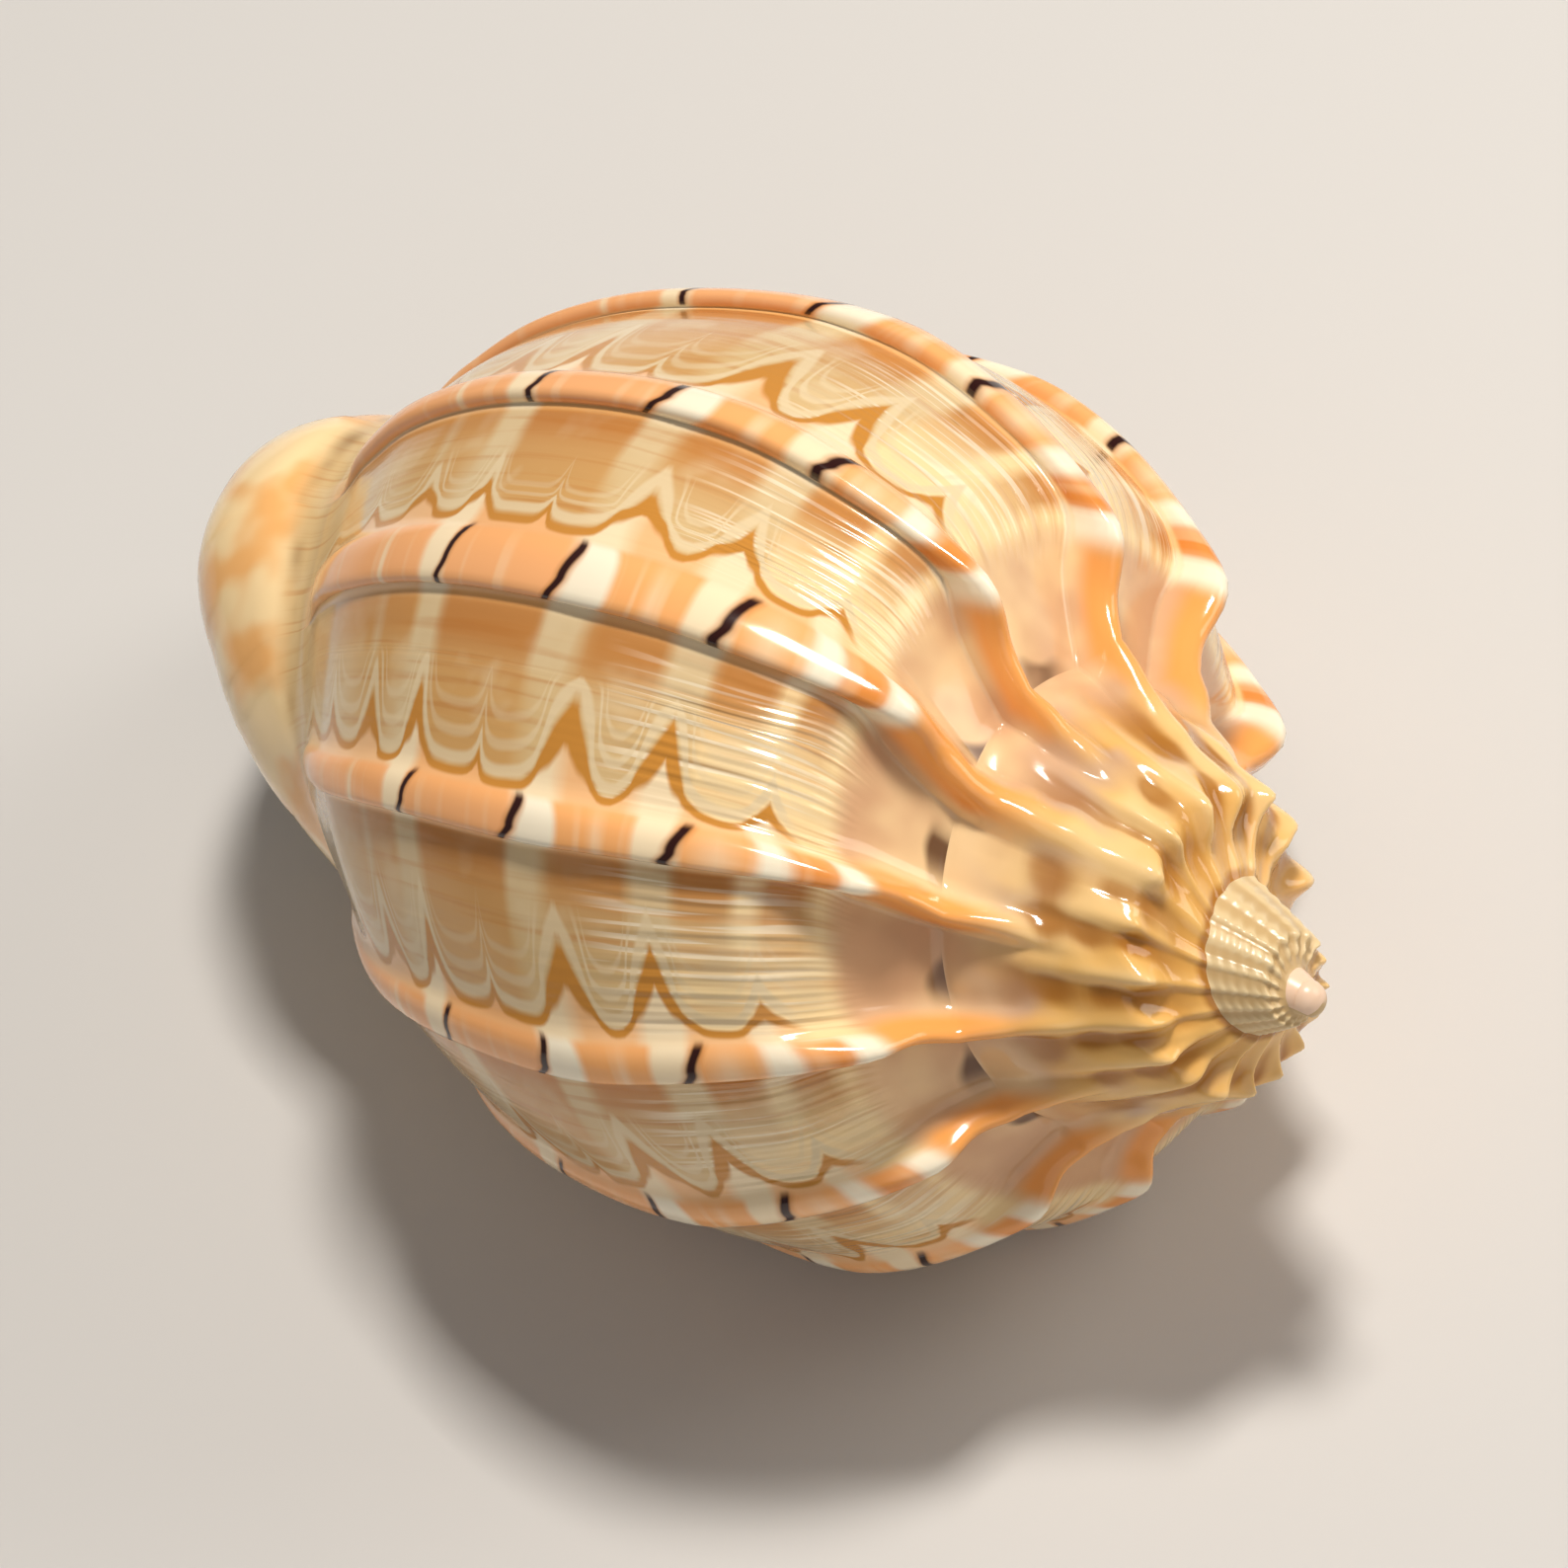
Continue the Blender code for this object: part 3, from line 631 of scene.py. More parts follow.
crowded = [v for v in bm.verts if v[place_layer] > GLAZED_FROM and v[lining_layer] < GLAZED_IN]
for _ in range(GLAZE_COATS):
    bmesh.ops.smooth_vert(
        bm, verts=crowded, factor=0.5, use_axis_x=True, use_axis_y=True, use_axis_z=True
    )
print(len(crowded), "points smoothed")

# %% [markdown]
# The mesh should be one closed skin by now: each edge with two faces, and no face without area.

# %% The closed shell
NO_AREA = 1e-15  # square metres
open_edges = [edge for edge in bm.edges if not edge.is_manifold]
flat_faces = [face for face in bm.faces if face.calc_area() < NO_AREA]
print("open edges:", len(open_edges), "faces without area:", len(flat_faces))
print("volume:", round(1e6 * abs(bm.calc_volume()), 2), "cm3")

# %% [markdown]
# Extruding makes its faces in an order that changes from run to run. Nothing moves by that, but
# the faces are put in one fixed order, so that the same mesh comes out each time.

# %% Faces in a fixed order
def face_number(face):
    """One number for a face, from the three lowest numbers of its points."""
    first, second, third = sorted(vert.index for vert in face.verts)[:3]
    return (first * len(bm.verts) + second) * len(bm.verts) + third


bm.verts.index_update()
bm.faces.sort(key=face_number)
print("different face numbers:", len({face_number(face) for face in bm.faces}), "of", len(bm.faces))

# %% [markdown]
# ## Laid on its mouth
# The shell rests on its lip and base with the spire a little raised. It goes to the place of
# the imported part, whose box gives the middle and the ground.

# %% At rest
SPIN_DEG = -171.4
TILT_DEG = 10.2

bmesh.ops.recalc_face_normals(bm, faces=bm.faces)
spun = Matrix.Rotation(math.radians(SPIN_DEG), 4, "Z")
laid = Matrix.Rotation(math.radians(90.0 - TILT_DEG), 4, "Y") @ spun
bmesh.ops.transform(bm, matrix=laid, verts=bm.verts)
low = Vector(min(vert.co[i] for vert in bm.verts) for i in range(3))
high = Vector(max(vert.co[i] for vert in bm.verts) for i in range(3))
part_low, part_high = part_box("harp_shell")
move = (part_low + part_high) / 2 - (low + high) / 2
move.z = part_low.z - low.z
bmesh.ops.transform(bm, matrix=Matrix.Translation(move), verts=bm.verts)

mesh = bpy.data.meshes.new("grown_shell")
bm.to_mesh(mesh)
bm.free()
mesh.shade_smooth()
shell = bpy.data.objects.new("grown_shell", mesh)
bpy.context.scene.collection.objects.link(shell)
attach(shell, "root")
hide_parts("harp_shell")
mesh.calc_loop_triangles()
measures = [round(1000 * side, 1) for side in high - low]
print("the shell has", len(mesh.loop_triangles), "triangles and measures", measures, "mm")

# %% [markdown]
# ## Tools for the glaze
# The colours are painted by growth and place, the way the animal laid them down along its
# mouth edge. A few short helpers make the shader nodes: arithmetic, soft steps and colour ramps.

# %% Node helpers
def tint(red, green, blue):
    """A colour given in screen values, as the linear colour that a shader wants."""
    return (*((value / 255.0) ** 2.2 for value in (red, green, blue)), 1.0)


def put(tree, socket, value):
    if isinstance(value, bpy.types.NodeSocket):
        tree.links.new(value, socket)
    else:
        socket.default_value = value


def calc(tree, operation, *values):
    """One step of arithmetic between numbers and sockets."""
    node = tree.nodes.new("ShaderNodeMath")
    node.operation = operation
    for socket, value in zip(node.inputs, values):
        put(tree, socket, value)
    return node.outputs["Value"]


def step(tree, value, start, end, low=0.0, high=1.0):
    """Eases from low to high as the value goes from start to end."""
    node = tree.nodes.new("ShaderNodeMapRange")
    node.interpolation_type = "SMOOTHSTEP"
    names = ("Value", "From Min", "From Max", "To Min", "To Max")
    for name, given in zip(names, (value, start, end, low, high)):
        put(tree, node.inputs[name], given)
    return node.outputs["Result"]


def band(tree, value, start, end, soft):
    """1 between start and end, fading over soft at each side."""
    rise = step(tree, value, start - soft, start + soft)
    fall = step(tree, value, end - soft, end + soft, 1.0, 0.0)
    return calc(tree, "MULTIPLY", rise, fall)


def blend(tree, share, first, second):
    node = tree.nodes.new("ShaderNodeMix")
    node.data_type = "RGBA"
    node.clamp_factor = True
    put(tree, node.inputs["Factor"], share)
    put(tree, node.inputs["A"], first)
    put(tree, node.inputs["B"], second)
    return node.outputs["Result"]


def ramp(tree, value, stops):
    """A colour ramp through rows of (place, colour)."""
    node = tree.nodes.new("ShaderNodeValToRGB")
    put(tree, node.inputs["Fac"], value)
    elements = node.color_ramp.elements
    elements[0].position, elements[0].color = stops[0]
    elements[1].position, elements[1].color = stops[-1]
    for position, colour in stops[1:-1]:
        elements.new(position).color = colour
    return node.outputs["Color"]


def flow(tree, value, points, corners):
    """A drawn curve through points, smooth but for the sharp corners."""
    node = tree.nodes.new("ShaderNodeFloatCurve")
    put(tree, node.inputs["Value"], value)
    curve = node.mapping.curves[0]
    curve.points[0].location, curve.points[1].location = points[0], points[-1]
    for place, height in points[1:-1]:
        curve.points.new(place, height)
    for point in curve.points:
        point.handle_type = "VECTOR" if round(point.location.x, 4) in corners else "AUTO"
    node.mapping.update()
    return node.outputs["Value"]


def speckle(tree, vector, scale, detail=2.0, roughness=0.5):
    node = tree.nodes.new("ShaderNodeTexNoise")
    put(tree, node.inputs["Vector"], vector)
    put(tree, node.inputs["Scale"], scale)
    put(tree, node.inputs["Detail"], detail)
    put(tree, node.inputs["Roughness"], roughness)
    return node.outputs["Fac"]


def vector(tree, x, y, z=0.0):
    node = tree.nodes.new("ShaderNodeCombineXYZ")
    for socket, value in zip(node.inputs, (x, y, z)):
        put(tree, socket, value)
    return node.outputs["Vector"]


def shifted(tree, value, cloud, reach):
    """The value pushed up and down by a noise, over this reach in all."""
    return calc(tree, "MULTIPLY_ADD", calc(tree, "SUBTRACT", cloud, 0.5), reach, value)


def greys(rows):
    """Rows of (place, level) as stops for a ramp that gives a number."""
    return [(spot, (level, level, level, 1.0)) for spot, level in rows]


def stretched(tree, x, x_scale, y, y_scale):
    """A point in a noise whose grain is stretched by a scale along each of two values."""
    return vector(tree, calc(tree, "MULTIPLY", x, x_scale), calc(tree, "MULTIPLY", y, y_scale))


def group(name, inputs, outputs):
    """An empty node group with these value inputs and these outputs, and its two end nodes."""
    tree = bpy.data.node_groups.new(name, "ShaderNodeTree")
    for label in inputs:
        tree.interface.new_socket(label, in_out="INPUT", socket_type="NodeSocketFloat")
    for label, kind in outputs:
        tree.interface.new_socket(label, in_out="OUTPUT", socket_type=kind)
    return tree, tree.nodes.new("NodeGroupInput"), tree.nodes.new("NodeGroupOutput")


def use(tree, inner, *values):
    node = tree.nodes.new("ShaderNodeGroup")
    node.node_tree = inner
    for socket, value in zip(node.inputs, values):
        put(tree, socket, value)
    return node.outputs


VALUE, COLOUR = "NodeSocketFloat", "NodeSocketColor"
print("helpers ready")

# %% [markdown]
# ## Where on the shell
# From the texture map come the growth and the place. The growth is split into the number of
# the rib and the share of the way to the next. A little noise bends the place, since no line
# that a mantle edge draws is straight. Part of it belongs to the rib, so that no two ribs are
# painted quite the same.

# %% Growth and place
where, _, out = group(
    "where on the shell", (), (("Growth", VALUE), ("Rib", VALUE), ("Share", VALUE), ("Place", VALUE))
)
uv = where.nodes.new("ShaderNodeUVMap")
uv.uv_map = "growth and place"
parts = where.nodes.new("ShaderNodeSeparateXYZ")
put(where, parts.inputs["Vector"], uv.outputs["UV"])
growth, place = parts.outputs["X"], parts.outputs["Y"]
rib = calc(where, "FLOOR", growth)
WOBBLE = 0.010  # how far places are bent along the whole shell
DRIFT = 0.020  # and how far anew from rib to rib
wobble = speckle(where, stretched(where, growth, 2.0, place, 24.0), 1.0)
drift = speckle(where, stretched(where, rib, 3.7, place, 3.0), 1.0)
bent = shifted(where, shifted(where, place, wobble, WOBBLE), drift, DRIFT)
put(where, out.inputs["Growth"], growth)
put(where, out.inputs["Rib"], rib)
put(where, out.inputs["Share"], calc(where, "SUBTRACT", growth, rib))
put(where, out.inputs["Place"], bent)
print("places are bent by up to", round((WOBBLE + DRIFT) / 2, 3))

# %% [markdown]
# ## The painted ribs
# Every rib carries the same blocks of salmon pink and orange, with cream between them. A second
# ramp says where the animal's mantle held pigment, which also tints the floor on both sides of
# the rib.

# %% Blocks along a rib
CREAM = tint(252, 230, 192)
WHITE = tint(254, 242, 216)
PINK = tint(250, 180, 122)
PALE_PINK = tint(252, 208, 162)
ORANGE = tint(250, 178, 112)
DEEP_ORANGE = tint(232, 146, 72)

blocks, entry, out = group("blocks along a rib", ("Place",), (("Colour", COLOUR), ("Pigment", VALUE)))
place = entry.outputs["Place"]
rib_stops = (
    (0.000, WHITE), (0.108, WHITE), (0.114, DEEP_ORANGE), (0.130, DEEP_ORANGE), (0.138, WHITE),
    (0.150, WHITE), (0.158, ORANGE), (0.176, PALE_PINK), (0.196, ORANGE), (0.204, CREAM),
    (0.234, CREAM), (0.241, ORANGE), (0.258, ORANGE), (0.268, PALE_PINK), (0.280, ORANGE),
    (0.314, ORANGE), (0.323, WHITE), (0.354, WHITE), (0.364, PINK), (0.410, PINK), (0.462, PINK),
    (0.470, CREAM), (0.496, CREAM), (0.505, PINK), (0.558, PINK), (0.565, CREAM), (0.572, PINK),
    (0.700, PINK), (0.780, PALE_PINK), (1.000, PALE_PINK),
)
put(blocks, out.inputs["Colour"], ramp(blocks, place, rib_stops))
PIGMENT = (  # place, how much pigment there is
    (0.000, 0.0), (0.108, 0.0), (0.116, 0.8), (0.130, 0.8), (0.140, 0.1), (0.152, 0.1), (0.160, 0.9),
    (0.202, 0.9), (0.210, 0.0), (0.238, 0.0), (0.252, 0.9), (0.300, 0.9), (0.318, 0.0), (0.350, 0.0),
    (0.362, 1.0), (0.458, 1.0), (0.472, 0.0), (0.500, 0.0), (0.515, 0.8), (0.735, 0.6), (0.770, 0.0),
    (1.000, 0.0),
)
put(blocks, out.inputs["Pigment"], ramp(blocks, place, greys(PIGMENT)))
print(len(rib_stops), "stops along a rib")

# %% [markdown]
# Three thin black-brown lines cross each rib, each at the edge of a cream block. They bend as
# they cross it, and a brown halo softens their edges.

# %% Black cross lines
BAR_PLACES = ((0.2060, 0.0042), (0.3600, 0.0032), (0.4680, 0.0034))  # place, half width

bars, entry, out = group("cross lines", ("Share", "Place"), (("Line", VALUE), ("Halo", VALUE)))
share, place = entry.outputs["Share"], entry.outputs["Place"]
hook = step(bars, share, 0.12, 0.20, -0.006, 0.0)
hook = calc(bars, "ADD", hook, step(bars, share, 0.20, 0.36, 0.0, 0.010))
curved = calc(bars, "ADD", place, hook)
line = halo = 0.0
for bar_place, half in BAR_PLACES:
    off = calc(bars, "ABSOLUTE", calc(bars, "SUBTRACT", curved, bar_place))
    line = calc(bars, "MAXIMUM", line, step(bars, off, half * 0.5, half * 1.4, 1.0, 0.0))
    halo = calc(bars, "MAXIMUM", halo, step(bars, off, half * 0.8, half * 2.6, 1.0, 0.0))
on_rib = calc(bars, "MULTIPLY", step(bars, share, 0.02, 0.05), step(bars, share, 0.31, 0.37, 1.0, 0.0))
put(bars, out.inputs["Line"], calc(bars, "MULTIPLY", line, on_rib))
put(bars, out.inputs["Halo"], calc(bars, "MULTIPLY", halo, on_rib))
print(len(BAR_PLACES), "cross lines")

# %% [markdown]
# ## The festoons
# On the younger side of each rib hangs a scalloped brown line with sharp points, like bunting.
# The line thickens up the points, a pale band follows in front of it, and two narrower bands
# echo it in the loops before the floor turns plain.

# %% Scalloped lines
SCALLOPS = (  # place, how far the line hangs over the floor there
    (0.000, 0.400), (0.110, 0.420), (0.130, 0.480), (0.141, 0.550), (0.152, 0.470), (0.175, 0.400),
    (0.200, 0.440), (0.212, 0.540), (0.2265, 0.720), (0.244, 0.560), (0.257, 0.440), (0.2666, 0.415),
    (0.276, 0.440), (0.289, 0.560), (0.3067, 0.720), (0.325, 0.560), (0.340, 0.440), (0.355, 0.410),
    (0.385, 0.405), (0.3986, 0.500), (0.412, 0.415), (0.435, 0.410), (0.452, 0.460), (0.471, 0.690),
    (0.488, 0.520), (0.505, 0.420), (0.522, 0.410), (0.541, 0.490), (0.560, 0.640), (0.576, 0.500),
    (0.592, 0.430), (0.610, 0.430), (0.640, 0.580), (0.662, 0.430), (0.690, 0.430), (0.725, 0.520),
    (0.780, 0.400), (1.000, 0.400),
)
POINTS = (0.141, 0.2265, 0.3067, 0.3986, 0.471, 0.56, 0.64, 0.725)

festoons, entry, out = group(
    "festoons", ("Rib", "Share", "Place"),
    (("Line", VALUE), ("Behind", VALUE), ("Pale", VALUE), ("Echo", VALUE)),
)
rib, share, place = (entry.outputs[name] for name in ("Rib", "Share", "Place"))
scallop = flow(festoons, place, SCALLOPS, POINTS)
SWAY = 0.10  # how far the line of one rib strays from that of another
sway = speckle(festoons, stretched(festoons, rib, 5.3, place, 9.0), 1.0)
scallop = shifted(festoons, scallop, sway, SWAY)
ahead = calc(festoons, "SUBTRACT", share, scallop)
ahead = calc(festoons, "DIVIDE", ahead, step(festoons, scallop, 0.44, 0.62, 1.0, 2.0))
older = step(festoons, scallop, 0.46, 0.70, -0.046, -0.074)
past_older = step(festoons, calc(festoons, "SUBTRACT", ahead, older), -0.012, 0.012)
before_younger = step(festoons, ahead, -0.014, 0.006, 1.0, 0.0)
put(festoons, out.inputs["Line"], calc(festoons, "MULTIPLY", past_older, before_younger))
put(festoons, out.inputs["Behind"], step(festoons, ahead, -0.030, -0.010, 1.0, 0.0))
put(festoons, out.inputs["Pale"], band(festoons, ahead, 0.010, 0.058, 0.012))
echo = calc(festoons, "MULTIPLY", band(festoons, ahead, 0.200, 0.228, 0.010), 0.7)
echo = calc(festoons, "MAXIMUM", band(festoons, ahead, 0.108, 0.144, 0.010), echo)
near = step(festoons, share, 0.68, 0.84, 1.0, 0.0)
STRENGTH = (  # place, how strong the echoes are there
    (0.00, 0.0), (0.12, 0.3), (0.20, 0.5), (0.225, 1.0), (0.31, 1.0), (0.34, 0.7), (0.46, 0.5),
    (0.48, 0.8), (0.56, 0.8), (0.66, 0.5), (0.76, 0.0), (1.0, 0.0),
)
looped = ramp(festoons, place, greys(STRENGTH))
echo = calc(festoons, "MULTIPLY", calc(festoons, "MULTIPLY", echo, near), looped)
put(festoons, out.inputs["Echo"], echo)
print(len(POINTS), "points to a festoon")

# %% [markdown]
# ## Growth lines
# Between the ribs the surface is finely ruled along the growth lines. The ruling is strongest
# below the shoulder, where it catches the light, and fades towards the base.

# %% Fine ruling
ruling, entry, out = group("fine ruling", ("Growth", "Place"), (("Height", VALUE),))
growth, place = entry.outputs["Growth"], entry.outputs["Place"]
COARSE_SHARE = 0.6
fine = speckle(ruling, stretched(ruling, growth, 40.0, place, 3.0), 1.0, 0.0)
coarse = speckle(ruling, stretched(ruling, growth, 13.0, place, 4.0), 1.0, 2.0)
put(ruling, out.inputs["Height"], calc(ruling, "MULTIPLY_ADD", coarse, COARSE_SHARE, fine))
print("the ruling has", len(ruling.nodes), "nodes")

# %% [markdown]
# ## The glaze
# All patterns come together in one porcelain glaze, layer over layer. It is told by growth and
# place where it is, by the height of the point on its rib, and by how far inside the mouth the
# point lies.

# %% Where the glaze is
material = bpy.data.materials.new("porcelain_glaze")
material.use_nodes = True
glaze = material.node_tree
surface = glaze.nodes["Principled BSDF"]
at = use(glaze, where)
growth, rib, share, place = (at[name] for name in ("Growth", "Rib", "Share", "Place"))


def stored(name):
    """A number kept at each point of the shell."""
    node = glaze.nodes.new("ShaderNodeAttribute")
    node.attribute_name = name
    return node.outputs["Fac"]


height, lining = stored("height"), stored("lining")
body = glaze.nodes.new("ShaderNodeTexCoord").outputs["Object"]
clouds = speckle(glaze, body, 170.0, 3.0)


def times(*values):
    """The product of several masks."""
    total = values[0]
    for value in values[1:]:
        total = calc(glaze, "MULTIPLY", total, value)
    return total


# %% [markdown]
# The floor between the ribs is fawn, with paler and browner zones. One ramp gives its colours
# beside the older rib and one those beside the younger. Brown streaks run along the growth lines,
# white lines along them below the shoulder are a painted highlight of the fine ruling, and soft
# pale spots lie over them.

# %% Colours of the floor
FAWN = tint(212, 164, 102)
SAND = tint(218, 186, 134)
PALE_FAWN = tint(220, 194, 150)
BUFF = tint(248, 218, 164)
CARAMEL = tint(204, 152, 94)
MAUVE = tint(218, 172, 132)
BROWN = tint(190, 118, 50)
FOOT_ORANGE = tint(248, 186, 116)
PALE_LINE = tint(230, 208, 168)
FESTOON = tint(202, 138, 60)
BLACK_BROWN = tint(50, 20, 16)

near_floor = ramp(glaze, place, (
    (0.00, MAUVE), (0.075, MAUVE), (0.10, BUFF), (0.200, BUFF), (0.214, SAND), (0.340, SAND),
    (0.365, FAWN), (0.455, FAWN), (0.470, PALE_FAWN), (0.505, PALE_FAWN), (0.540, FAWN),
    (0.620, SAND), (0.780, SAND), (1.000, SAND),
))
far_floor = ramp(glaze, place, (
    (0.00, MAUVE), (0.08, MAUVE), (0.10, BUFF), (0.113, CARAMEL), (0.133, CARAMEL), (0.145, BUFF),
    (0.153, BUFF), (0.165, CARAMEL), (0.200, CARAMEL), (0.212, PALE_FAWN), (0.236, PALE_FAWN),
    (0.250, CARAMEL), (0.308, CARAMEL), (0.325, PALE_FAWN), (0.352, PALE_FAWN), (0.364, CARAMEL),
    (0.456, CARAMEL), (0.472, PALE_FAWN), (0.497, PALE_FAWN), (0.512, FAWN), (0.555, FAWN),
    (0.566, PALE_FAWN), (0.578, FAWN), (0.740, SAND), (1.000, SAND),
))
floor = blend(glaze, step(glaze, share, 0.56, 0.94), near_floor, far_floor)
streaks = stretched(glaze, growth, 26.0, place, 4.0)
streak = step(glaze, speckle(glaze, streaks, 1.0, 2.0), 0.50, 0.72)
floor = blend(glaze, times(streak, 0.40), floor, BROWN)
# Painted highlight: thin white lines along the growth lines below the shoulder, where the fine ruling
# catches the light.
ruling_highlight_grain = stretched(glaze, growth, 44.0, place, 5.0)
thread = step(glaze, speckle(glaze, ruling_highlight_grain, 1.0, 1.0), 0.54, 0.62)
floor = blend(glaze, times(thread, band(glaze, place, 0.11, 0.27, 0.03), 0.6), floor, WHITE)
spot = step(glaze, speckle(glaze, body, 420.0, 2.0), 0.50, 0.70)
floor = blend(glaze, times(spot, 0.35), floor, PALE_LINE)
print("floor colours laid")

# %% [markdown]
# The festoons lie over the floor, and the painted ribs over both. The brown band before each rib,
# partly a pigment patch and partly painted shade under the rib's overhanging edge, and its cream
# or orange foot belong to the floor, and the cross lines come last.

# %% Festoons and ribs over the floor
block_colour, pigment = use(glaze, blocks, place)
line, behind, pale, echo = use(glaze, festoons, rib, share, place)
body_whorl = step(glaze, place, 0.745, 0.775, 1.0, 0.0)
below_shoulder = times(step(glaze, place, 0.115, 0.135), body_whorl)

# Brown band before the next rib: partly a pigment patch, partly painted shade under its overhanging edge.
under = times(band(glaze, share, 0.88, 0.985, 0.09), pigment, body_whorl, 0.75)
floor = blend(glaze, under, floor, BROWN)
beside = blend(glaze, times(pigment, 0.85), CREAM, ORANGE)
floor = blend(glaze, times(behind, below_shoulder, 0.85), floor, beside)
floor = blend(glaze, times(pale, below_shoulder, 0.85), floor, PALE_LINE)
floor = blend(glaze, times(echo, 0.8), floor, PALE_LINE)
floor = blend(glaze, times(line, below_shoulder), floor, FESTOON)
foot = calc(glaze, "MAXIMUM", step(glaze, share, 0.02, 0.05, 1.0, 0.0), step(glaze, share, 0.96, 0.99))
floor = blend(glaze, times(foot, body_whorl), floor, blend(glaze, pigment, CREAM, FOOT_ORANGE))

stripes = stretched(glaze, rib, 7.1, place, 60.0)
stripe = step(glaze, speckle(glaze, stripes, 1.0, 1.0), 0.52, 0.68)
striped = blend(glaze, times(stripe, pigment, 0.55), block_colour, PALE_PINK)
warmed = blend(glaze, times(step(glaze, share, 0.18, 0.34), pigment, 0.8), striped, ORANGE)
on_rib = times(step(glaze, share, 0.015, 0.045), step(glaze, share, 0.31, 0.36, 1.0, 0.0))
on_rib = times(on_rib, step(glaze, place, 0.765, 0.785, 1.0, 0.0), step(glaze, place, 0.075, 0.095))
ribbed = blend(glaze, on_rib, floor, warmed)
line, halo = use(glaze, bars, share, place)
ribbed = blend(glaze, times(halo, 0.6), ribbed, BROWN)
ribbed = blend(glaze, line, ribbed, BLACK_BROWN)
print("ribs painted")

# %% [markdown]
# The ridge that turns round the base is made of the ends of the old mouth edges. It is cream
# with soft orange blotches, and a little dirt stays in the groove that runs above it.

# %% The ridge at the base
LOBE_CREAM = tint(255, 224, 170)
LOBE_ORANGE = tint(246, 184, 114)
# Painted shade for the deep hollows in the seam between the blades.
SEAM_HOLLOW_SHADE = tint(84, 46, 24)
DIRT = tint(116, 76, 38)

patches = speckle(glaze, body, 240.0, 2.0)
lobe = blend(glaze, step(glaze, patches, 0.46, 0.62), LOBE_CREAM, LOBE_ORANGE)
ribbed = blend(glaze, step(glaze, place, 0.790, 0.815), ribbed, lobe)
groove = times(band(glaze, place, 0.792, 0.802, 0.005), step(glaze, clouds, 0.44, 0.60), 0.6)
ribbed = blend(glaze, groove, ribbed, DIRT)

# %% [markdown]
# In the channel between the seam and the shoulder the floor is mauve with cream clouds, and the
# blades are orange, with painted shade in deeper orange on their steep older side. A dark, ragged
# line of painted shade sits in parts of the seam, in the deep hollows between the blades.

# %% The channel beside the seam
BLADE = tint(246, 168, 92)

# Painted shade: the steep older side of each blade is painted a deeper orange.
edge = step(glaze, share, 0.02, 0.14, 0.8, 0.0)
blade = blend(glaze, times(edge, 0.7), BLADE, DEEP_ORANGE)
channel = blend(glaze, times(step(glaze, clouds, 0.44, 0.66), 0.7), MAUVE, LOBE_CREAM)
channel = blend(glaze, step(glaze, height, 0.12, 0.62), channel, blade)
ribbed = blend(glaze, step(glaze, place, 0.098, 0.074), ribbed, channel)
# Painted shade: a dark, ragged line in the deep hollows of the seam between the blades.
ragged = speckle(glaze, body, 330.0, 1.0)
reach = step(glaze, ragged, 0.34, 0.70, 0.000, 0.022)
seam_hollow_shade = step(glaze, calc(glaze, "SUBTRACT", place, reach), 0.004, -0.006)
seam_hollow_shade = times(seam_hollow_shade, band(glaze, share, 0.54, 0.86, 0.14), step(glaze, clouds, 0.36, 0.58), 0.9)
ribbed = blend(glaze, seam_hollow_shade, ribbed, SEAM_HOLLOW_SHADE)

# %% [markdown]
# The glazed spire is gold in its hollows and honey-coloured on its ridges, and paler on the highest
# ridges, which is a painted highlight. It has brown stains, and patches of grey mauve in its hollows
# near the seam that are partly its own colour and partly painted shade. The first whorls are pale
# tan, and the pearl at the tip is a pale pink.

# %% The spire
HONEY = tint(238, 188, 112)
GOLD = tint(224, 168, 90)
LIGHT_HONEY = tint(250, 216, 158)
STAIN = tint(160, 98, 28)
GREY_MAUVE = tint(206, 172, 148)
NET = tint(202, 170, 120)
NET_LIGHT = tint(232, 208, 162)
PEARL = tint(242, 208, 180)
YOUNG_FROM = -19.6  # growth before which the first whorls show their own colour

stain_and_shade_noise = speckle(glaze, body, 260.0, 2.0)
glazed = blend(glaze, step(glaze, height, 0.0, 0.55), GOLD, HONEY)
# Painted highlight: the highest ridges are a paler honey.
glazed = blend(glaze, step(glaze, height, 0.45, 1.1, 0.0, 0.7), glazed, LIGHT_HONEY)
glazed = blend(glaze, times(step(glaze, clouds, 0.48, 0.66), 0.6), glazed, LIGHT_HONEY)
# Grey mauve in the low hollows near the seam: partly the glaze's own colour, partly painted shade.
shaded = step(glaze, stain_and_shade_noise, 0.46, 0.60)
mauve = times(step(glaze, place, 0.13, 0.22), step(glaze, height, 0.60, 0.15), shaded, 0.85)
glazed = blend(glaze, mauve, glazed, GREY_MAUVE)
hollow = times(band(glaze, place, 0.04, 0.26, 0.04), step(glaze, height, 0.30, 0.00))
glazed = blend(glaze, times(hollow, step(glaze, stain_and_shade_noise, 0.74, 0.46), 0.65), glazed, STAIN)
crease = times(band(glaze, place, 0.06, 0.29, 0.04), step(glaze, height, 0.16, -0.04), 0.55)
glazed = blend(glaze, crease, glazed, STAIN)
glazed = blend(glaze, step(glaze, place, 0.19, 0.325), glazed, channel)
young = blend(glaze, times(step(glaze, height, 0.05, 0.5), 0.8), NET, NET_LIGHT)
young = blend(glaze, times(step(glaze, clouds, 0.45, 0.65), 0.5), young, NET_LIGHT)
young = blend(glaze, step(glaze, growth, -29.0, -33.0), young, PEARL)
spire = blend(glaze, step(glaze, growth, YOUNG_FROM, -20.4), glazed, young)
seam = times(step(glaze, place, 0.016, 0.004), band(glaze, growth, -20.5, -9.0, 1.0), 0.8)
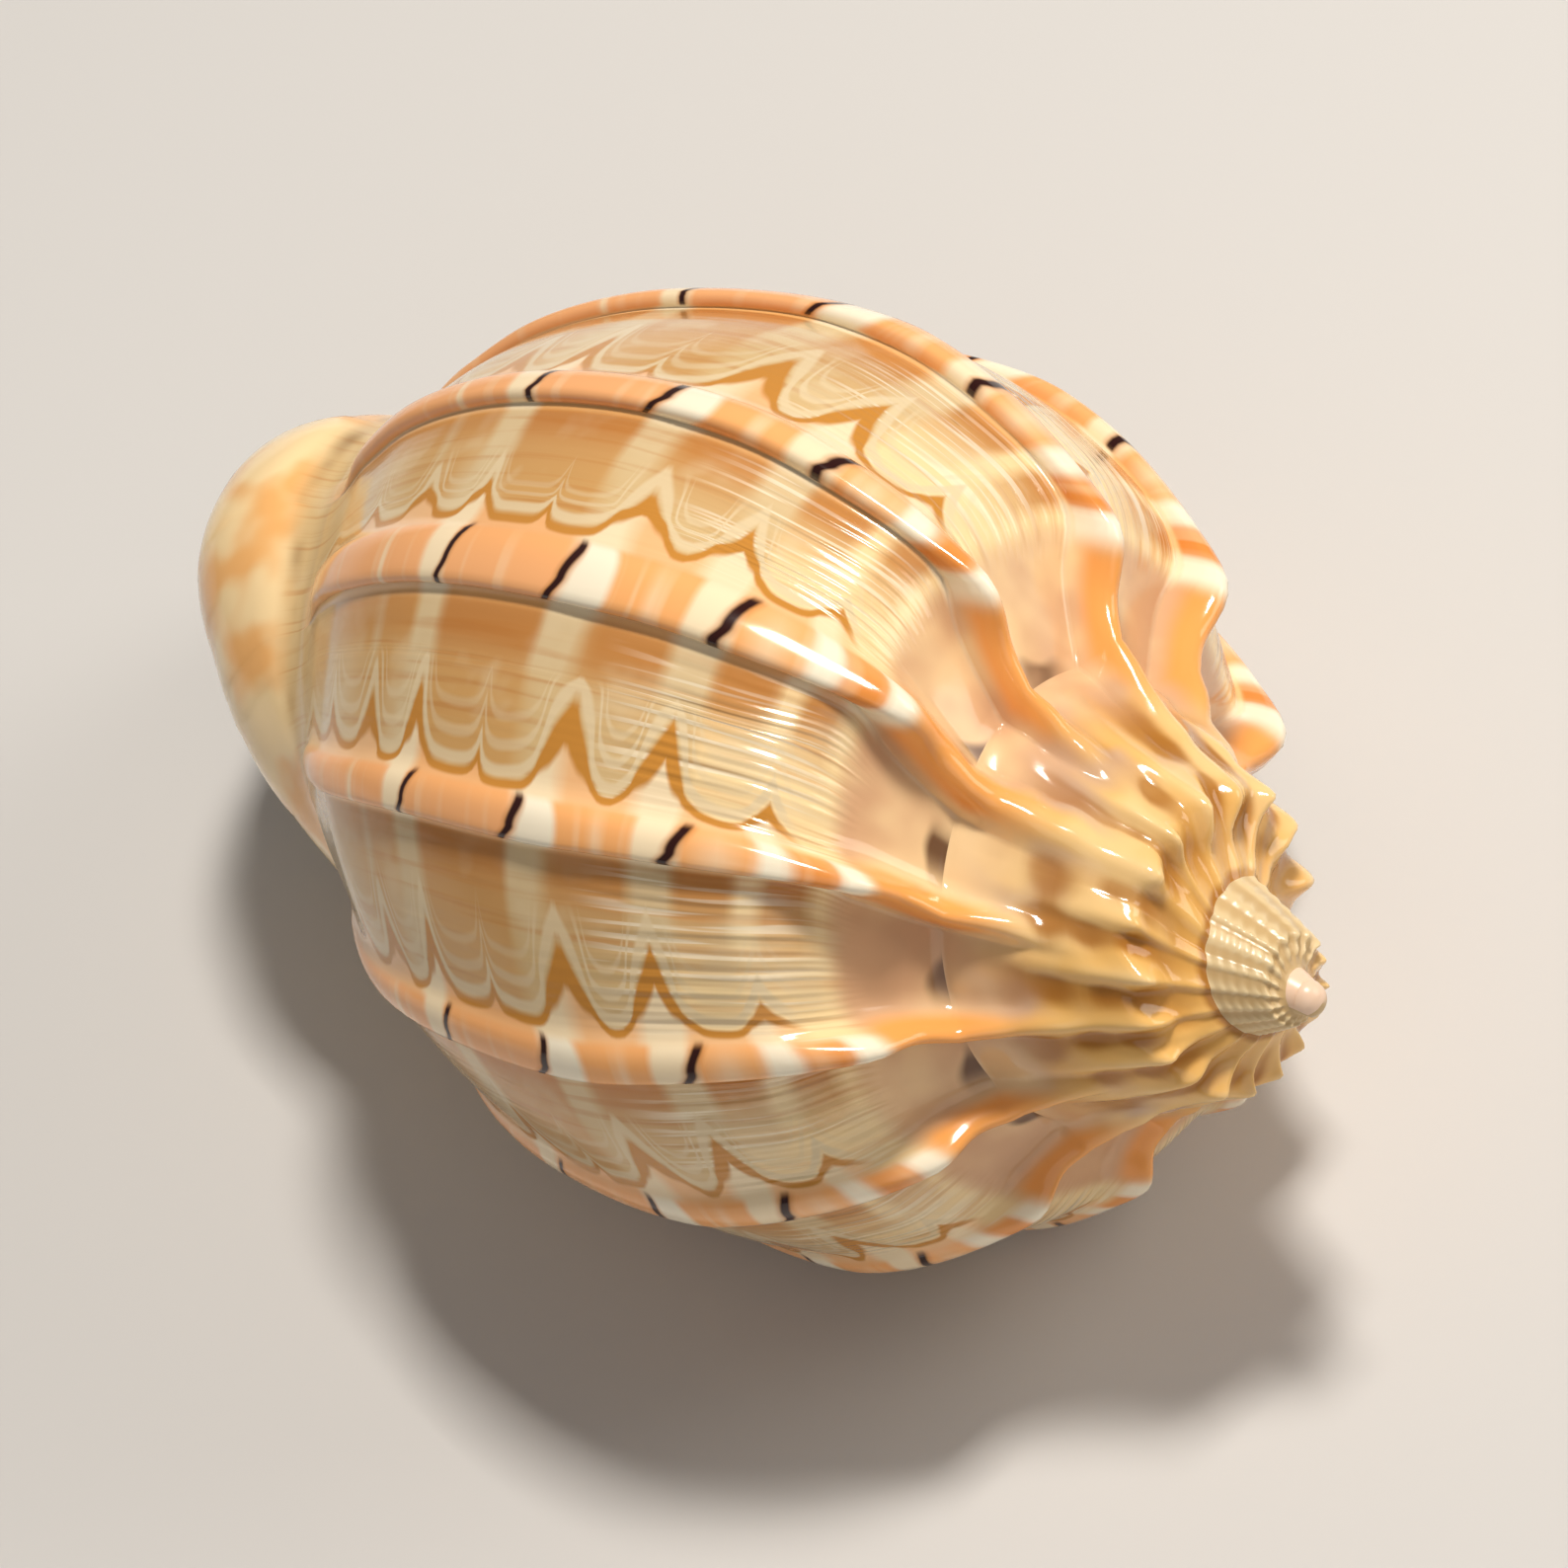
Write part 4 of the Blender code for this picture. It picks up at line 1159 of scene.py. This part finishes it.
spire = blend(glaze, seam, spire, STAIN)
skin = blend(glaze, step(glaze, growth, -6.0, -8.5), ribbed, spire)
print("spire glazed")

# %% [markdown]
# The callus beside the mouth is cream with chestnut blotches. Inside the mouth the glaze is cream,
# with pale brown bands where the mantle held pigment. The first whorls are duller than the rest,
# and the fine ruling is added as a bump.

# %% Callus and mouth
CHESTNUT = tint(120, 58, 28)
PORCELAIN_IOR = 1.55
RULING_DEPTH = 0.00010  # metres

callus = times(step(glaze, growth, -4.6, -6.4), step(glaze, place, 0.33, 0.42))
blotch = step(glaze, speckle(glaze, body, 70.0, 1.0), 0.52, 0.60)
callused = blend(glaze, times(blotch, 0.9), CREAM, CHESTNUT)
skin = blend(glaze, callus, skin, callused)
lined = blend(glaze, times(pigment, 0.35), CREAM, CARAMEL)
skin = blend(glaze, step(glaze, lining, 0.15, 0.6), skin, lined)

put(glaze, surface.inputs["Base Color"], skin)
put(glaze, surface.inputs["Roughness"], step(glaze, growth, YOUNG_FROM, -20.6, 0.12, 0.30))
surface.inputs["IOR"].default_value = PORCELAIN_IOR
bump = glaze.nodes.new("ShaderNodeBump")
bump.inputs["Distance"].default_value = RULING_DEPTH
off_rib = step(glaze, share, 0.34, 0.45)
ruled = times(band(glaze, place, 0.09, 0.72, 0.03), off_rib, step(glaze, growth, -7.5, -6.0))
put(glaze, bump.inputs["Strength"], times(ruled, step(glaze, place, 0.21, 0.30, 1.0, 0.12)))
put(glaze, bump.inputs["Height"], use(glaze, ruling, growth, place)["Height"])
put(glaze, surface.inputs["Normal"], bump.outputs["Normal"])
mesh.materials.append(material)
print("the glaze has", len(glaze.nodes), "nodes")

# %% [markdown]
# ## The studio
# The shell lies on a plain pale floor. A small warm lamp stands nearly overhead, a broader warm
# one to one side and a large soft one to the other, and a faint warm sky fills the shadows. A
# long lens looks down on it from beyond the spire.

# %% Camera, floor and light
low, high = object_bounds()
middle = (low + high) / 2

LENS_MM = 136.03
SENSOR_MM = 36.0
CAMERA_STAND = (0.12146, -0.08623, 0.14833)  # metres from the middle of the shell
CAMERA_TURN_DEG = (41.664, 15.571, 37.410)
camera = bpy.data.objects.new("camera", bpy.data.cameras.new("camera"))
camera.data.lens = LENS_MM
camera.data.sensor_width = SENSOR_MM
camera.data.clip_start = 0.01
camera.data.clip_end = 10.0
camera.location = middle + Vector(CAMERA_STAND)
camera.rotation_euler = tuple(math.radians(angle) for angle in CAMERA_TURN_DEG)
bpy.context.scene.collection.objects.link(camera)
bpy.context.scene.camera = camera


def lamp(name, direction, distance, size, watts, colour):
    """A soft square lamp in a direction from the shell, facing it."""
    light = bpy.data.lights.new(name, "AREA")
    light.size = size
    light.energy = watts
    light.color = colour
    made = bpy.data.objects.new(name, light)
    made.location = middle + Vector(direction).normalized() * distance
    made.rotation_euler = (-Vector(direction)).to_track_quat("-Z", "Y").to_euler()
    bpy.context.scene.collection.objects.link(made)


lamp("warm key", (0.06, 0.28, 0.92), 0.40, 0.07, 1.40, (1.0, 0.94, 0.86))
lamp("warm side", (0.60, 0.65, 0.50), 0.45, 0.25, 0.6, (1.0, 0.94, 0.86))
lamp("soft fill", (0.6, -0.6, 0.6), 0.60, 0.50, 0.45, (1.0, 0.96, 0.92))

SKY_STRENGTH = 0.18
world = bpy.data.worlds.new("studio")
world.use_nodes = True
sky = world.node_tree.nodes["Background"]
sky.inputs["Color"].default_value = (1.0, 0.95, 0.90, 1.0)
sky.inputs["Strength"].default_value = SKY_STRENGTH
bpy.context.scene.world = world
bpy.context.scene.view_settings.view_transform = "Standard"

floor_bm = bmesh.new()
bmesh.ops.create_grid(floor_bm, x_segments=1, y_segments=1, size=1.0)
floor_mesh = bpy.data.meshes.new("studio_floor")
floor_bm.to_mesh(floor_mesh)
floor_bm.free()
floor_paint = bpy.data.materials.new("floor paint")
floor_paint.use_nodes = True
matt = floor_paint.node_tree.nodes["Principled BSDF"]
matt.inputs["Base Color"].default_value = (0.66, 0.65, 0.64, 1.0)
matt.inputs["Roughness"].default_value = 0.8
floor_mesh.materials.append(floor_paint)
studio_floor = bpy.data.objects.new("studio_floor", floor_mesh)
studio_floor.location = (middle.x, middle.y, low.z)
bpy.context.scene.collection.objects.link(studio_floor)
print("camera", round((camera.location - middle).length, 3), "m from the middle of the shell")
